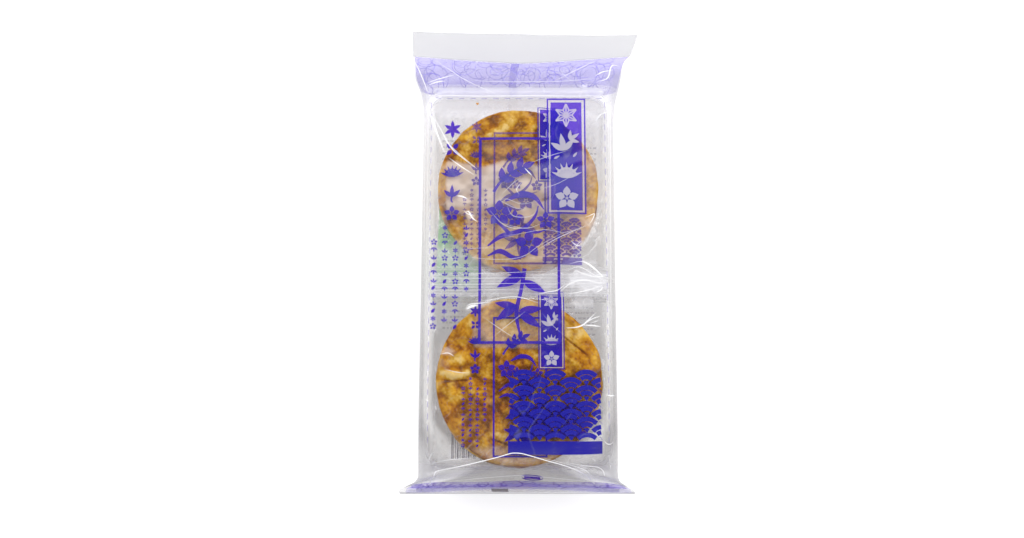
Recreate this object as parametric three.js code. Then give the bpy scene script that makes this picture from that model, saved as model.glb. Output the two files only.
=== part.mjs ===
// A sealed clear pillow pack of round rice crackers, lying on its back.
//
// Millimetres, +Z up. X runs across the pack, Y along it from the turned-up foot seal to the head seal, and the
// origin is under the middle of the whole pack. The pack is one closed solid: a tube of film, flat at both ends
// where it is welded, drawn tight over a tray of crackers between them.

import * as THREE from 'three';

// Driving dimensions.
const BODY_HALF_WIDTH = 50.4;      // over the rolled sides
const BODY_HEIGHT = 30;            // back film to front film
const WELD_THICKNESS = 0.8;        // both films together at a welded end
const HEAD_EDGE_Y = 120.7;         // cut edge of the head seal
const HEAD_WELD_LENGTH = 15.4;
const HEAD_SEAL_Z = 13;            // the head seal stands out at half height
const HEAD_RIM_Y = 81;             // tray rim at the head end
const FOOT_RIM_Y = -97;            // tray rim at the foot end
const FOOT_RIDGE_Y = -104.4;       // the front film's last ridge before it drops to the fold
const FOOT_FOLD_Y = -115;          // where the foot seal folds up
const FOOT_FOLD_Z = 13;
const FOOT_WELD_Y = -121;          // where the foot's weld begins, higher up the flap
const FOOT_WELD_Z = 30;
const FOOT_EDGE_Y = -123.6;        // cut edge of the foot seal, leaning outwards
const FOOT_EDGE_Z = 44;

// Tray rim under the front film: a rounded rectangle whose inside lies a little lower.
const RIM_HALF_WIDTH = 45.5;
const RIM_CORNER_RADIUS = 9;
const RIM_LIP_WIDTH = 4;
const RIM_SINK = 0.9;

// The two wrapped stacks press the film up, and the wraps' seals leave a valley between them.
const STACK_Y = [29, -70];
const STACK_RADIUS = 42;
const STACK_RISE = 1.4;
const VALLEY_Y = -18;
const VALLEY_HALF_LENGTH = 11;
const VALLEY_DEPTH = 1.6;

// Creases that run in from the corners of the head end: start, end, half width and height.
const HEAD_CREASES = [
  { from: [-57, 112], to: [-38, 68], halfWidth: 2.2, rise: 1.2 },
  { from: [-48, 90], to: [-26, 52], halfWidth: 2, rise: 0.7 },
  { from: [58, 108], to: [40, 88], halfWidth: 2.4, rise: 1.3 },
  { from: [47, 100], to: [30, 84], halfWidth: 2, rise: 0.8 },
];

// Facets round one cross-section, for each quarter side, corner and flat face.
const SIDE_STEPS = 1;
const CORNER_STEPS = 5;
const FACE_STEPS = 20;

const BOW_POWER = 1.25;

const halfWeld = WELD_THICKNESS / 2;
const headWeldY = HEAD_EDGE_Y - HEAD_WELD_LENGTH;

// Cross-sections from the head edge to the foot edge. front and back are [y, z] of the two films at mid width,
// half is half the width, shift moves the section across, run is how far its corners reach in from the sides,
// bow is how far the sides of the two films trail towards the foot, growing as |x| to the BOW_POWER, and steps
// is the number of facets to the next section.
const sections = [
  { front: [HEAD_EDGE_Y, HEAD_SEAL_Z + halfWeld], back: [HEAD_EDGE_Y, HEAD_SEAL_Z - halfWeld],
    half: 61.4, shift: 4.2, run: 0.8, bow: [-1, -1], steps: 3 },
  { front: [headWeldY, HEAD_SEAL_Z + halfWeld], back: [headWeldY, HEAD_SEAL_Z - halfWeld],
    half: 58.9, shift: 2.1, run: 0.8, bow: [-4, -4], steps: 2 },
  { front: [102, 16.4], back: [102, 10], half: 57.2, shift: 0.8, run: 22, bow: [-3, -3], steps: 3 },
  { front: [95, 22.5], back: [96, 5], half: 55.6, shift: 0.2, run: 24, bow: [-0.8, -0.8], steps: 3 },
  { front: [87, 28.2], back: [88, 1], half: 53, shift: 0.8, run: 14, bow: [0, 0], steps: 2 },
  { front: [HEAD_RIM_Y, BODY_HEIGHT], back: [HEAD_RIM_Y, 0], half: 51.6, shift: 0.7, run: 8, bow: [0, 0],
    steps: 4 },
  { front: [60, BODY_HEIGHT], back: [60, 0], half: BODY_HALF_WIDTH, shift: 0.4, run: 7.5, bow: [0, 0],
    steps: 16 },
  { front: [-78, BODY_HEIGHT], back: [-78, 0], half: BODY_HALF_WIDTH, shift: 0, run: 7.5, bow: [0, 0],
    steps: 4 },
  { front: [FOOT_RIM_Y, BODY_HEIGHT], back: [FOOT_RIM_Y, 0], half: 50.6, shift: 0, run: 22, bow: [6, 0],
    steps: 2 },
  { front: [FOOT_RIDGE_Y, BODY_HEIGHT], back: [-106, 1], half: 50.4, shift: 0, run: 40, bow: [13.6, 3],
    steps: 3 },
  { front: [-111.4, 25], back: [-113.5, 5], half: 51.4, shift: -0.2, run: 30, bow: [6.4, 3.4], steps: 3 },
  { front: [FOOT_FOLD_Y, FOOT_FOLD_Z + 1.2], back: [FOOT_FOLD_Y - 1.6, FOOT_FOLD_Z - 0.8],
    half: 56.6, shift: -1, run: 12, bow: [5, 5], steps: 4 },
  { front: [FOOT_WELD_Y + halfWeld, FOOT_WELD_Z], back: [FOOT_WELD_Y - halfWeld, FOOT_WELD_Z - 0.2],
    half: 57.6, shift: -1.2, run: 0.8, bow: [1, 1], steps: 3 },
  { front: [FOOT_EDGE_Y + halfWeld, FOOT_EDGE_Z], back: [FOOT_EDGE_Y - halfWeld, FOOT_EDGE_Z - 0.2],
    half: 56.6, shift: -0.4, run: 0.8, bow: [0, 0], steps: 0 },
];

const smoothstep = (edge0, edge1, x) => {
  const t = Math.min(1, Math.max(0, (x - edge0) / (edge1 - edge0)));
  return t * t * (3 - 2 * t);
};

// Slope at each key of a curve through evenly spaced values that never overshoots: the harmonic mean of the
// two neighbouring differences, or none where they have different signs.
function gentleSlopes(values) {
  return values.map((value, i) => {
    if (i === 0 || i === values.length - 1) return 0;
    const before = value - values[i - 1];
    const after = values[i + 1] - value;
    return before * after > 0 ? (2 * before * after) / (before + after) : 0;
  });
}

function hermite(values, slopes, i, t) {
  const t2 = t * t;
  const t3 = t2 * t;
  return (2 * t3 - 3 * t2 + 1) * values[i] + (t3 - 2 * t2 + t) * slopes[i]
    + (3 * t2 - 2 * t3) * values[i + 1] + (t3 - t2) * slopes[i + 1];
}

// The sections with the ones between them filled in.
function filledSections() {
  const tracks = {
    frontY: sections.map((s) => s.front[0]),
    frontZ: sections.map((s) => s.front[1]),
    backY: sections.map((s) => s.back[0]),
    backZ: sections.map((s) => s.back[1]),
    half: sections.map((s) => s.half),
    shift: sections.map((s) => s.shift),
    run: sections.map((s) => s.run),
    frontBow: sections.map((s) => s.bow[0]),
    backBow: sections.map((s) => s.bow[1]),
  };
  const slopes = Object.fromEntries(Object.entries(tracks).map(([name, v]) => [name, gentleSlopes(v)]));
  const at = (i, t) => Object.fromEntries(
    Object.keys(tracks).map((name) => [name, hermite(tracks[name], slopes[name], i, t)]));
  const filled = [];
  for (let i = 0; i < sections.length - 1; i += 1) {
    for (let step = 0; step < sections[i].steps; step += 1) filled.push(at(i, step / sections[i].steps));
  }
  filled.push(at(sections.length - 2, 1));
  return filled;
}

// One quarter of a cross-section as [across, up] pairs: up the side, round an elliptical corner and along the
// face to the middle. across and up are fractions of the half width and half height.
function quarter(runFraction, riseFraction) {
  const points = [];
  for (let i = 0; i < SIDE_STEPS; i += 1) points.push([1, (1 - riseFraction) * (i / SIDE_STEPS)]);
  for (let i = 0; i < CORNER_STEPS; i += 1) {
    const angle = (Math.PI / 2) * (i / CORNER_STEPS);
    points.push([1 - runFraction * (1 - Math.cos(angle)), 1 - riseFraction * (1 - Math.sin(angle))]);
  }
  for (let i = 0; i <= FACE_STEPS / 2; i += 1) points.push([(1 - runFraction) * (1 - (2 * i) / FACE_STEPS), 1]);
  return points;
}

// Distance inside a rounded rectangle, negative outside it.
function depthInsideRim(x, y) {
  const middleY = (HEAD_RIM_Y + FOOT_RIM_Y) / 2;
  const halfLength = (HEAD_RIM_Y - FOOT_RIM_Y) / 2;
  const dx = Math.abs(x) - (RIM_HALF_WIDTH - RIM_CORNER_RADIUS);
  const dy = Math.abs(y - middleY) - (halfLength - RIM_CORNER_RADIUS);
  const outside = Math.hypot(Math.max(dx, 0), Math.max(dy, 0)) + Math.min(Math.max(dx, dy), 0);
  return RIM_CORNER_RADIUS - outside;
}

// How far the front film lies above or below its plain loft.
function frontRelief(x, y) {
  let height = -RIM_SINK * smoothstep(0, RIM_LIP_WIDTH, depthInsideRim(x, y));
  for (const stackY of STACK_Y) {
    const away = Math.hypot(x, y - stackY) / STACK_RADIUS;
    height += STACK_RISE * (1 - smoothstep(0.55, 1.05, away));
  }
  const valley = 1 - smoothstep(0, 1, Math.abs(y - VALLEY_Y) / VALLEY_HALF_LENGTH);
  height -= VALLEY_DEPTH * valley * smoothstep(0, 8, depthInsideRim(x, y));
  for (const { from, to, halfWidth, rise } of HEAD_CREASES) {
    const along = [to[0] - from[0], to[1] - from[1]];
    const length = Math.hypot(...along);
    const offset = [x - from[0], y - from[1]];
    const share = (offset[0] * along[0] + offset[1] * along[1]) / (length * length);
    const aside = Math.abs(offset[0] * along[1] - offset[1] * along[0]) / length;
    const fade = smoothstep(0, 0.25, share) * (1 - smoothstep(0.6, 1, share));
    height += rise * fade * (1 - smoothstep(0, halfWidth, aside));
  }
  return height;
}

// The loop of one cross-section. It lies in the plane through both films' mid points, with its sides bowed.
function sectionLoop(s) {
  const middle = [(s.frontY + s.backY) / 2, (s.frontZ + s.backZ) / 2];
  const up = [(s.frontY - s.backY) / 2, (s.frontZ - s.backZ) / 2];
  const halfHeight = Math.hypot(...up);
  const rise = Math.min(halfHeight * 0.92, 10 + s.run * 0.2);
  const corner = quarter(Math.min(s.run, s.half * 0.94) / s.half, rise / halfHeight);
  const frontRight = corner;
  const frontLeft = corner.slice(0, -1).reverse().map(([a, u]) => [-a, u]);
  const backLeft = corner.slice(1).map(([a, u]) => [-a, -u]);
  const backRight = corner.slice(1, -1).reverse().map(([a, u]) => [a, -u]);
  const liftShare = smoothstep(4, 12, halfHeight);
  return [...frontRight, ...frontLeft, ...backLeft, ...backRight].map(([a, u]) => {
    const x = s.shift + a * s.half;
    const bow = (s.frontBow * (1 + u) + s.backBow * (1 - u)) / 2;
    const y = middle[0] + u * up[0] - bow * Math.abs(a) ** BOW_POWER;
    const lift = u > 0.99 ? liftShare * frontRelief(x, y) : 0;
    return new THREE.Vector3(x, y + (lift * up[0]) / halfHeight, middle[1] + u * up[1] + (lift * up[1]) / halfHeight);
  });
}

// A closed skin over the loops: a band of facets between neighbours and a flat strip across each end.
function loft(loops) {
  const around = loops[0].length;
  const positions = loops.flat().flatMap((p) => [p.x, p.y, p.z]);
  const index = [];
  const corner = (row, column) => row * around + ((column + around) % around);
  for (let row = 0; row < loops.length - 1; row += 1) {
    for (let column = 0; column < around; column += 1) {
      const [a, b] = [corner(row, column), corner(row, column + 1)];
      const [c, d] = [corner(row + 1, column), corner(row + 1, column + 1)];
      index.push(a, b, c, b, d, c);
    }
  }
  for (const [row, reversed] of [[0, true], [loops.length - 1, false]]) {
    for (let column = 0; column < around / 2; column += 1) {
      const [a, b] = [corner(row, column), corner(row, column + 1)];
      const [c, d] = [corner(row, -column), corner(row, -column - 1)];
      const faces = column === 0 ? [[a, b, d]] : [[a, b, c], [b, d, c]];
      if (column === around / 2 - 1) faces.pop();
      for (const face of faces) index.push(...(reversed ? face.reverse() : face));
    }
  }
  const geometry = new THREE.BufferGeometry();
  geometry.setAttribute('position', new THREE.Float32BufferAttribute(positions, 3));
  geometry.setIndex(index);
  geometry.computeVertexNormals();
  return geometry;
}

const film = new THREE.MeshStandardMaterial({ color: 0xd9d8e6, roughness: 0.18, metalness: 0 });
const sealedPack = new THREE.Mesh(loft(filledSections().map(sectionLoop)), film);
sealedPack.name = 'sealed_pack';

// The head seal is askew, so the sections' own middle isn't the pack's: the pack moves over the origin.
const box = new THREE.Box3().setFromObject(sealedPack);
sealedPack.position.set(-(box.min.x + box.max.x) / 2, -(box.min.y + box.max.y) / 2, -box.min.z);

const crackerPack = new THREE.Group();
crackerPack.add(sealedPack);

export default crackerPack;
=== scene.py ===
import bpy
import numpy as np
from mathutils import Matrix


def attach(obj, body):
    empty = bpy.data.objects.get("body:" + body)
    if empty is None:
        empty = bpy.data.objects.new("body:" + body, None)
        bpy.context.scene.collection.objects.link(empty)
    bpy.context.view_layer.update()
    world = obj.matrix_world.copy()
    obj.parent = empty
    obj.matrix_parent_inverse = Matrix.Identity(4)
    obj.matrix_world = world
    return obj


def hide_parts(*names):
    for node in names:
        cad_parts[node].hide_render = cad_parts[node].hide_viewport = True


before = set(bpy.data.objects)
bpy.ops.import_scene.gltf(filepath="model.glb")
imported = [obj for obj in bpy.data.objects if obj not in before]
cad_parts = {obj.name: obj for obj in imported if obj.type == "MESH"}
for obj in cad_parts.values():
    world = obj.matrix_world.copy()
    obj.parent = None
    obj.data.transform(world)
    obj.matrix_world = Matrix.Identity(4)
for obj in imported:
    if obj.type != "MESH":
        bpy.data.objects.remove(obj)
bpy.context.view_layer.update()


# Crackers: six round soy crackers in two stacks of three, of baked and glazed rice dough. They are crisp and
# blistered, toasted unevenly, and lie loose in their wraps, one on another. All sizes here are in
# millimetres, and the first stack is the one at the head.

MM = 0.001
STACKS = ("head", "foot")
STACK_MIDDLES = [(0.3, 31.7), (0.4, -68.0)]
LAYER_HEIGHTS = [5.0, 13.9, 23.9]
TOP_LAYER = 2
PACK_ORIGIN = np.array([-3.4, 1.15, 0.0])       # where the places below have their origin
CRACKER_RADII = [(41.9, 43.2), (42.4, 42.5)]    # across and along
CRACKER_HALF_THICKNESS = 3.7
BLISTER_ROOM = 0.5                              # of the half thickness, left to blisters and cells
CRACKER_GRIDS = [(42, 74, 220), (42, 14, 140), (130, 43, 360)]     # one a layer, fine where it shows


def smooth(low, high, x):
    """0 at low and 1 at high, with 3t^2 - 2t^3 between. low may be the greater of the two."""
    t = np.clip((x - low) / (high - low), 0, 1)
    return t * t * (3 - 2 * t)


def mottle(x, y, size, seed):
    """Soft noise from 0 to 1: random values on a square lattice of this size, blended by 3t^2 - 2t^3."""
    corners = np.random.default_rng(seed).random((64, 64))
    i, j = np.floor(x / size).astype(int), np.floor(y / size).astype(int)
    u, v = smooth(0, 1, x / size - i), smooth(0, 1, y / size - j)
    low = corners[i % 64, j % 64] * (1 - u) + corners[(i + 1) % 64, j % 64] * u
    high = corners[i % 64, (j + 1) % 64] * (1 - u) + corners[(i + 1) % 64, (j + 1) % 64] * u
    return low * (1 - v) + high * v


def ridges(x, y, size, seed):
    """Soft noise folded at its middle, 1 - |2 n - 1|, so that it is 1 along wandering lines."""
    return 1 - np.abs(2 * mottle(x, y, size, seed) - 1)


def cells(x, y, size, seed):
    """Distance to the nearest of a lattice of jittered points, in lattice sides: 0 on one, 0.7 between."""
    jitter = np.random.default_rng(seed).random((2, 64, 64))
    i, j = np.floor(x / size).astype(int), np.floor(y / size).astype(int)
    nearest = np.full(x.shape, 9.0)
    for a in (-1, 0, 1):
        for b in (-1, 0, 1):
            px = i + a + jitter[0, (i + a) % 64, (j + b) % 64]
            py = j + b + jitter[1, (i + a) % 64, (j + b) % 64]
            nearest = np.minimum(nearest, np.hypot(px - x / size, py - y / size))
    return nearest


def near_line(x, y, start, end, half_width, fade_in=(-0.1, 0.2), fade_out=(1.1, 0.8)):
    """1 on the line from start to end, falling to 0 at half_width aside, and over the shares of its length
    that are given for its start and its end."""
    along = np.subtract(end, start)
    length = np.hypot(*along)
    share = ((x - start[0]) * along[0] + (y - start[1]) * along[1]) / length**2
    aside = np.abs((x - start[0]) * along[1] - (y - start[1]) * along[0]) / length
    return smooth(*fade_in, share) * smooth(*fade_out, share) * smooth(half_width, 0, aside)


class Wire:
    """An output of a node tree. Arithmetic on it makes Math nodes."""

    def __init__(self, tree, socket=None):
        self.tree, self.socket = tree, socket

    def make(self, kind, inputs, output=0, **settings):
        """A new node of this kind, as its output. inputs go by name or number, and a Wire among them is
        linked."""
        node = self.tree.nodes.new("ShaderNode" + kind)
        for key, value in settings.items():
            setattr(node, key, value)
        for key, value in inputs.items():
            if isinstance(value, Wire):
                self.tree.links.new(value.socket, node.inputs[key])
            else:
                node.inputs[key].default_value = value
        return Wire(self.tree, node.outputs[output])

    def point_value(self, name):
        """The number of this name that each point of the mesh holds."""
        return self.make("Attribute", {}, output="Fac", attribute_name=name)

    def math(self, operation, first, second):
        """A Math node with this operation on two values."""
        return self.make("Math", {0: first, 1: second}, operation=operation)

    def __add__(self, other):
        return self.math("ADD", self, other)

    def __sub__(self, other):
        return self.math("SUBTRACT", self, other)

    def __mul__(self, other):
        return self.math("MULTIPLY", self, other)

    def __radd__(self, other):
        return self.math("ADD", other, self)

    def __rsub__(self, other):
        return self.math("SUBTRACT", other, self)

    def __rmul__(self, other):
        return self.math("MULTIPLY", other, self)


def colour(red, green, blue):
    """A screen colour from 0 to 255 as linear light with full alpha."""
    c = np.array([red, green, blue]) / 255
    return (*np.where(c <= 0.04045, c / 12.92, ((c + 0.055) / 1.055) ** 2.4).tolist(), 1.0)


def new_material(name):
    """An empty node material and a Wire to start its nodes from."""
    made = bpy.data.materials.new(name)
    made.use_nodes = True
    made.node_tree.nodes.clear()
    return made, Wire(made.node_tree)


def show(start, surface):
    """Ends the material with this surface."""
    output = start.tree.nodes.new("ShaderNodeOutputMaterial")
    start.tree.links.new(surface.socket, output.inputs["Surface"])


def piece(name, points, quads, material, slot, triangles=(), **values):
    """A smooth mesh that rides on the pack, from points in millimetres. values hold one number a point, or
    one for all of them."""
    mesh = bpy.data.meshes.new(name)
    triangles = np.array(triangles, int).reshape(-1, 3)
    corners = np.concatenate([quads.ravel(), triangles.ravel()])
    sizes = np.concatenate([np.full(len(quads), 4), np.full(len(triangles), 3)])
    mesh.vertices.add(len(points))
    mesh.vertices.foreach_set("co", ((points + PACK_ORIGIN) * MM).ravel())
    mesh.loops.add(len(corners))
    mesh.loops.foreach_set("vertex_index", corners)
    mesh.polygons.add(len(sizes))
    mesh.polygons.foreach_set("loop_start", np.cumsum(sizes) - sizes)
    mesh.polygons.foreach_set("use_smooth", np.ones(len(sizes), bool))
    mesh.update(calc_edges=True)
    for key, value in values.items():
        made = mesh.attributes.new(key, "FLOAT", "POINT")
        made.data.foreach_set("value", np.broadcast_to(value, len(points)).astype(np.float32).ravel())
    mesh.materials.append(material)
    made = bpy.data.objects.new(name, mesh)
    bpy.context.scene.collection.objects.link(made)
    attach(made, "root")
    return made


def net(rows, columns, closed=False):
    """Quads of a grid of points in rows, joined round from the last column to the first where it is closed.
    Seen with rows running up and columns to the right, they face the eye."""
    last = columns if closed else columns - 1
    r, c = np.meshgrid(np.arange(rows - 1), np.arange(last), indexing="ij")
    right = (c + 1) % columns
    corners = [r * columns + c, r * columns + right, (r + 1) * columns + right, (r + 1) * columns + c]
    return np.stack(corners, -1).reshape(-1, 4)


TOAST_COLOURS = {0: (236, 200, 122), 0.22: (214, 167, 66), 0.45: (191, 138, 24), 0.62: (170, 114, 4),
                 0.80: (143, 87, 0), 1: (110, 62, 0)}     # from pale dough to dark toast
AMBER_TINT = (1.04, 0.88, 0.25, 1)

cracker_look, start = new_material("cracker_crust")
toast = start.point_value("toast")
speckle = start.make("TexNoise", {"Vector": start.make("TexCoord", {}, output="Object"),
                                  "Scale": 900.0, "Detail": 3.0, "Roughness": 0.6})
ramp = start.make("ValToRGB", {"Fac": toast + 0.22 * (speckle - 0.5)})
stops = ramp.socket.node.color_ramp.elements
stops[0].color = colour(*TOAST_COLOURS[0])
stops[1].color = colour(*TOAST_COLOURS[1])
for place in list(TOAST_COLOURS)[1:-1]:
    stops.new(place).color = colour(*TOAST_COLOURS[place])
amber = start.point_value("amber")
crust_colour = start.make("MixRGB", {"Fac": amber, "Color1": ramp, "Color2": AMBER_TINT},
                          blend_type="MULTIPLY")
bump = start.make("Bump", {"Height": speckle, "Strength": 0.25, "Distance": 0.0003})
show(start, start.make("BsdfPrincipled", {"Base Color": crust_colour, "Roughness": 0.42,
                                          "Specular IOR Level": 0.16, "Normal": bump}))


def ring_shell(rings, poles=None):
    """Points, quads and triangles of a closed shell from rows of points, one ring a row. Its two open ends
    are closed by fans round the poles given, or round the middles of the first ring and the last. Rings that
    run counter-clockwise seen from above, from the top's middle outwards and down, face out."""
    count, around = rings.shape[:2]
    poles = [rings[0].mean(0), rings[-1].mean(0)] if poles is None else poles
    points = np.concatenate([rings.reshape(-1, 3), poles])
    here = np.arange(around)
    there = (here + 1) % around
    below = (count - 1) * around
    top = np.stack([np.full(around, count * around), here, there], -1)
    bottom = np.stack([np.full(around, count * around + 1), below + there, below + here], -1)
    return points, net(count, around, closed=True)[:, ::-1], np.concatenate([top, bottom])


def cracker(name, middle, radii, height, seed, grid, folds=(), cracks_and_shadow_lines=(), spots=()):
    """A closed shell of rings from the top's middle over the rim to the bottom's middle. Across the radius
    share r the half thickness is 3.2 (1 - r^7)^0.5, and both faces add blisters, cells and grain. The
    outline wanders by 1.5 per cent. tone is how dark it is toasted and amber how orange, each from 0 to 1.
    grid is the number of rings above, of rings below and of points round each."""
    rings_above, rings_below, sectors = grid
    r_above = 1 - (1 - np.linspace(0, 1, rings_above + 1)[1:]) ** 1.25
    r_below = np.linspace(1, 0, rings_below + 1)[1:-1]
    r = np.concatenate([r_above, r_below])[:, None]
    side = np.concatenate([np.ones(rings_above), -np.ones(len(r_below))])[:, None]
    angle = np.linspace(0, 2 * np.pi, sectors, endpoint=False)[None]
    wander = 1 + 0.03 * (mottle(3 * np.cos(angle) + 9, 3 * np.sin(angle) + 9, 1.0, seed) - 0.5)
    wobble = mottle(14 * np.cos(angle) + 20, 14 * np.sin(angle) + 20, 1.0, seed + 1)
    wander = wander + 0.008 * (wobble - 0.5)
    x = radii[0] * r * wander * np.cos(angle)
    y = radii[1] * r * wander * np.sin(angle)
    bend = 5.0 * (mottle(x + 50, y + 50, 6, seed + 2) - 0.5)
    coarse = cells(x + bend + 90, y - bend + 90, 4.8, seed + 3)
    fine = cells(x - bend + 90, y + bend + 90, 2.0, seed + 4)
    broad = mottle(x + 90, y + 90, 13, seed + 5)
    patch = mottle(x + bend + 90, y + bend + 90, 4.4, seed + 6)
    grain = mottle(x + 90, y + 90, 1.0, seed + 7)
    lift = 0.75 * (0.45 - coarse) + 0.3 * (0.45 - fine) + 0.9 * (broad - 0.5) + 0.16 * (grain - 0.5)
    tone = 0.43 + 0.34 * smooth(0.25, 0.85, coarse) + 0.19 * smooth(0.2, 0.8, fine) + 0.66 * (patch - 0.5)
    tone = tone + 0.42 * (broad - 0.5) + 0.3 * (grain - 0.5)
    amber = smooth(0.35, 0.75, mottle(x + 70, y + 110, 4.2, seed + 8))
    amber = amber + 0.5 * smooth(0.80, 0.97, r) * (side > 0)
    for spot_x, spot_y, half_x, half_y, amount in spots:
        dx, dy = x + middle[0] - spot_x, y + middle[1] - spot_y
        near = smooth(1.0, 0.1, np.hypot(dx / half_x, dy / half_y))
        tone = tone - amount * near
        amber = amber - 2.5 * max(amount, 0) * near
    for start, end, half_width, rise in folds:
        ridge = near_line(x + middle[0], y + middle[1], start, end, half_width)
        lift = lift + rise * ridge
        tone = tone - 0.55 * rise * ridge
        amber = amber - ridge
    # Cracks are sunk and darker; one of them is a painted shadow under a fold.
    for start, end in cracks_and_shadow_lines:
        ridge = near_line(x + middle[0], y + middle[1], start, end, 0.9)
        lift = lift - 0.7 * ridge
        tone = tone + 0.55 * ridge
    tone = tone + 0.02 - 0.12 * smooth(0.72, 0.93, r) - 0.14 * smooth(0.95, 1.0, r) + 0.1 * (side < 0)
    z = side * (CRACKER_HALF_THICKNESS - BLISTER_ROOM) * np.sqrt(1 - np.minimum(r, 1) ** 7)
    z = z + side * lift * smooth(1.0, 0.86, r)
    points, quads, fans = ring_shell(np.stack([x + middle[0], y + middle[1], z + height], -1))
    tones = np.concatenate([np.clip(tone, 0, 1).ravel(), [tone[0].mean(), tone[-1].mean()]])
    ambers = np.concatenate([np.clip(amber, 0, 1).ravel(), [amber[0].mean(), amber[-1].mean()]])
    return piece(name, points, quads, cracker_look, "cracker", fans, toast=tones, amber=ambers)


# What the two crackers on top have of their own. A fold has its ends, half width and rise, a crack its ends,
# and a paler or browner spot its middle, half sizes and amount. The foot cracker's last crack is a painted
# shadow: a sunk dark line under its big fold.
TOP_FEATURES = [
    ([((-16, 60), (-4, 66), 3.0, 0.5), ((18, 40), (34, 30), 3.0, 0.5)],
     [],
     [(-8, 3, 40, 19, 0.62), (-6, 50, 16, 9, -0.12)]),
    ([((-40, -63), (-31, -66), 3.0, 1.1), ((-34, -66), (-23, -64), 3.0, 1.1),
      ((-38, -71), (-33, -78), 2.6, 0.8), ((-12, -94), (2, -98), 3.5, 0.7), ((20, -52), (32, -62), 3.0, 0.5)],
     [((22, -45), (35, -55)), ((-14, -97), (-2, -101)), ((-38, -68.6), (-24, -67.6))],
     [(30, -44, 16, 12, 0.30), (-31, -58, 6, 4.5, 0.35), (-30, -48, 10, 6, -0.15), (-10, -99, 26, 8, 0.14),
      (0, -39, 30, 16, 0.50)])]
for stack, (middle_x, middle_y) in enumerate(STACK_MIDDLES):
    for layer, layer_height in enumerate(LAYER_HEIGHTS):
        on_top = layer == TOP_LAYER
        shift = 0 if on_top else 0.7 * (layer - 0.5)
        cracker(f"cracker_{STACKS[stack]}_{layer + 1}", (middle_x + shift, middle_y - shift),
                CRACKER_RADII[stack], layer_height, 40 + 20 * stack + 7 * layer, CRACKER_GRIDS[layer],
                *(TOP_FEATURES[stack] if on_top else ()))


# Sachet: a small flat packet of green and white film with a drying powder in it. It is tucked beside the
# head stack, under the top cracker's rim, and only its edge shows.

SACHET_MIDDLE = (-30.3, 2.0, 19.0)
SACHET_HALF_WIDTH = 11.5
SACHET_HALF_LENGTH = 21.5
SACHET_TURN = np.radians(-2)

sachet_look, start = new_material("sachet_film")
two_greens = start.make("MixRGB", {"Fac": start.point_value("green"), "Color1": colour(206, 232, 200),
                                   "Color2": colour(150, 212, 142)})
show(start, start.make("BsdfPrincipled", {"Base Color": two_greens, "Roughness": 0.35}))


def edge_of(rows, columns):
    """Indices round the edge of a grid of points, counter-clockwise where its rows run up and its columns to
    the right, and for each the index after it."""
    place = np.arange(rows * columns).reshape(rows, columns)
    edge = np.concatenate([place[0, :-1], place[:-1, -1], place[-1, :0:-1], place[:0:-1, 0]])
    return edge, np.roll(edge, -1)


def pillow(x, y, top, bottom):
    """Points and quads of a closed skin over a grid seen from above: the grid at the heights top, the same
    grid at bottom facing down, and a belt of quads round the edge."""
    points = np.concatenate([np.stack([x, y, z], -1).reshape(-1, 3) for z in (top, bottom)])
    edge, ahead = edge_of(*x.shape)
    face = net(*x.shape)
    belt = np.stack([edge + x.size, ahead + x.size, ahead, edge], -1)
    return points, np.concatenate([face, face[:, ::-1] + x.size, belt])


v, u = np.meshgrid(np.linspace(-1, 1, 60), np.linspace(-1, 1, 40), indexing="ij")
swell = 0.55 * (1 - u**4) * (1 - v**6) + 0.1
across, along = SACHET_HALF_WIDTH * u, SACHET_HALF_LENGTH * v
x = SACHET_MIDDLE[0] + across * np.cos(SACHET_TURN) - along * np.sin(SACHET_TURN)
y = SACHET_MIDDLE[1] + across * np.sin(SACHET_TURN) + along * np.cos(SACHET_TURN)
height = SACHET_MIDDLE[2] + 0.12 * (mottle(x + 90, y + 90, 5, 3) - 0.5)
points, quads = pillow(x, y, height + swell, height - swell)
green = smooth(0.1, 0.35, np.abs(v + 0.2)) * smooth(1.0, 0.9, np.abs(v))
piece("sachet", points, quads, sachet_look, "film", green=np.tile(green.ravel(), 2))


# Inner wraps: each cracker is sealed in a pillow of clear film of its own, with a ribbed weld across one end
# and the other end folded under. The film is thin and crinkled, and clings round the cracker's rim.

WRAPS = [   # y of the plain end and of the welded end, the weld's length and its height
    {"plain": 77.0, "weld": -25.0, "length": 12.0, "weld_z": 25.4},
    {"plain": -112.0, "weld": -9.0, "length": 11.0, "weld_z": 22.8},
]
WRAP_MIDDLE_X = 1.0
WRAP_HALF_WIDTH = 45.4
WRAP_FLAT, WRAP_RISE = 0.2, 4.1  # half the thickness of its flat ends, and what the cracker adds to it
WRAP_EDGE = 0.08                # half the thickness at its very edge
WRAP_GRIDS = [(50, 40), (50, 40), (210, 150)]   # rows and columns, one a layer
RIB_PITCH = 1.6
LEAST_VEIL, MOST_VEIL = 0.018, 0.8
SHEEN_CREAM = (255, 236, 220)


def film_look(name, roughness, tones):
    """Clear film. The attribute veil is the share of it that isn't see-through, which is part mirror where
    the film is clear and white haze where it is creased or welded, or where light is painted in as sheen,
    glare or highlight. The attribute tone runs from grey to white haze, and the attribute warm turns
    the painted sheen creamy."""
    made, start = new_material(name)
    veil = start.point_value("veil")
    haze = start.make("MixRGB", {"Fac": start.point_value("tone"), "Color1": colour(*tones[0]),
                                 "Color2": colour(*tones[1])})
    haze = start.make("MixRGB", {"Fac": start.point_value("warm"), "Color1": haze, "Color2": colour(*SHEEN_CREAM)})
    mirror = start.math("MAXIMUM", 0.75 - 2.2 * veil, 0.0)
    solid = start.make("BsdfPrincipled", {"Base Color": haze, "Metallic": mirror, "Roughness": roughness,
                                          "Specular IOR Level": 0.6})
    clear = start.make("BsdfTransparent", {})
    show(start, start.make("MixShader", {0: veil, 1: clear, 2: solid}))
    return made


wrap_look = film_look("wrap_film", 0.12, ((168, 167, 168), (250, 249, 253)))


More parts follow.
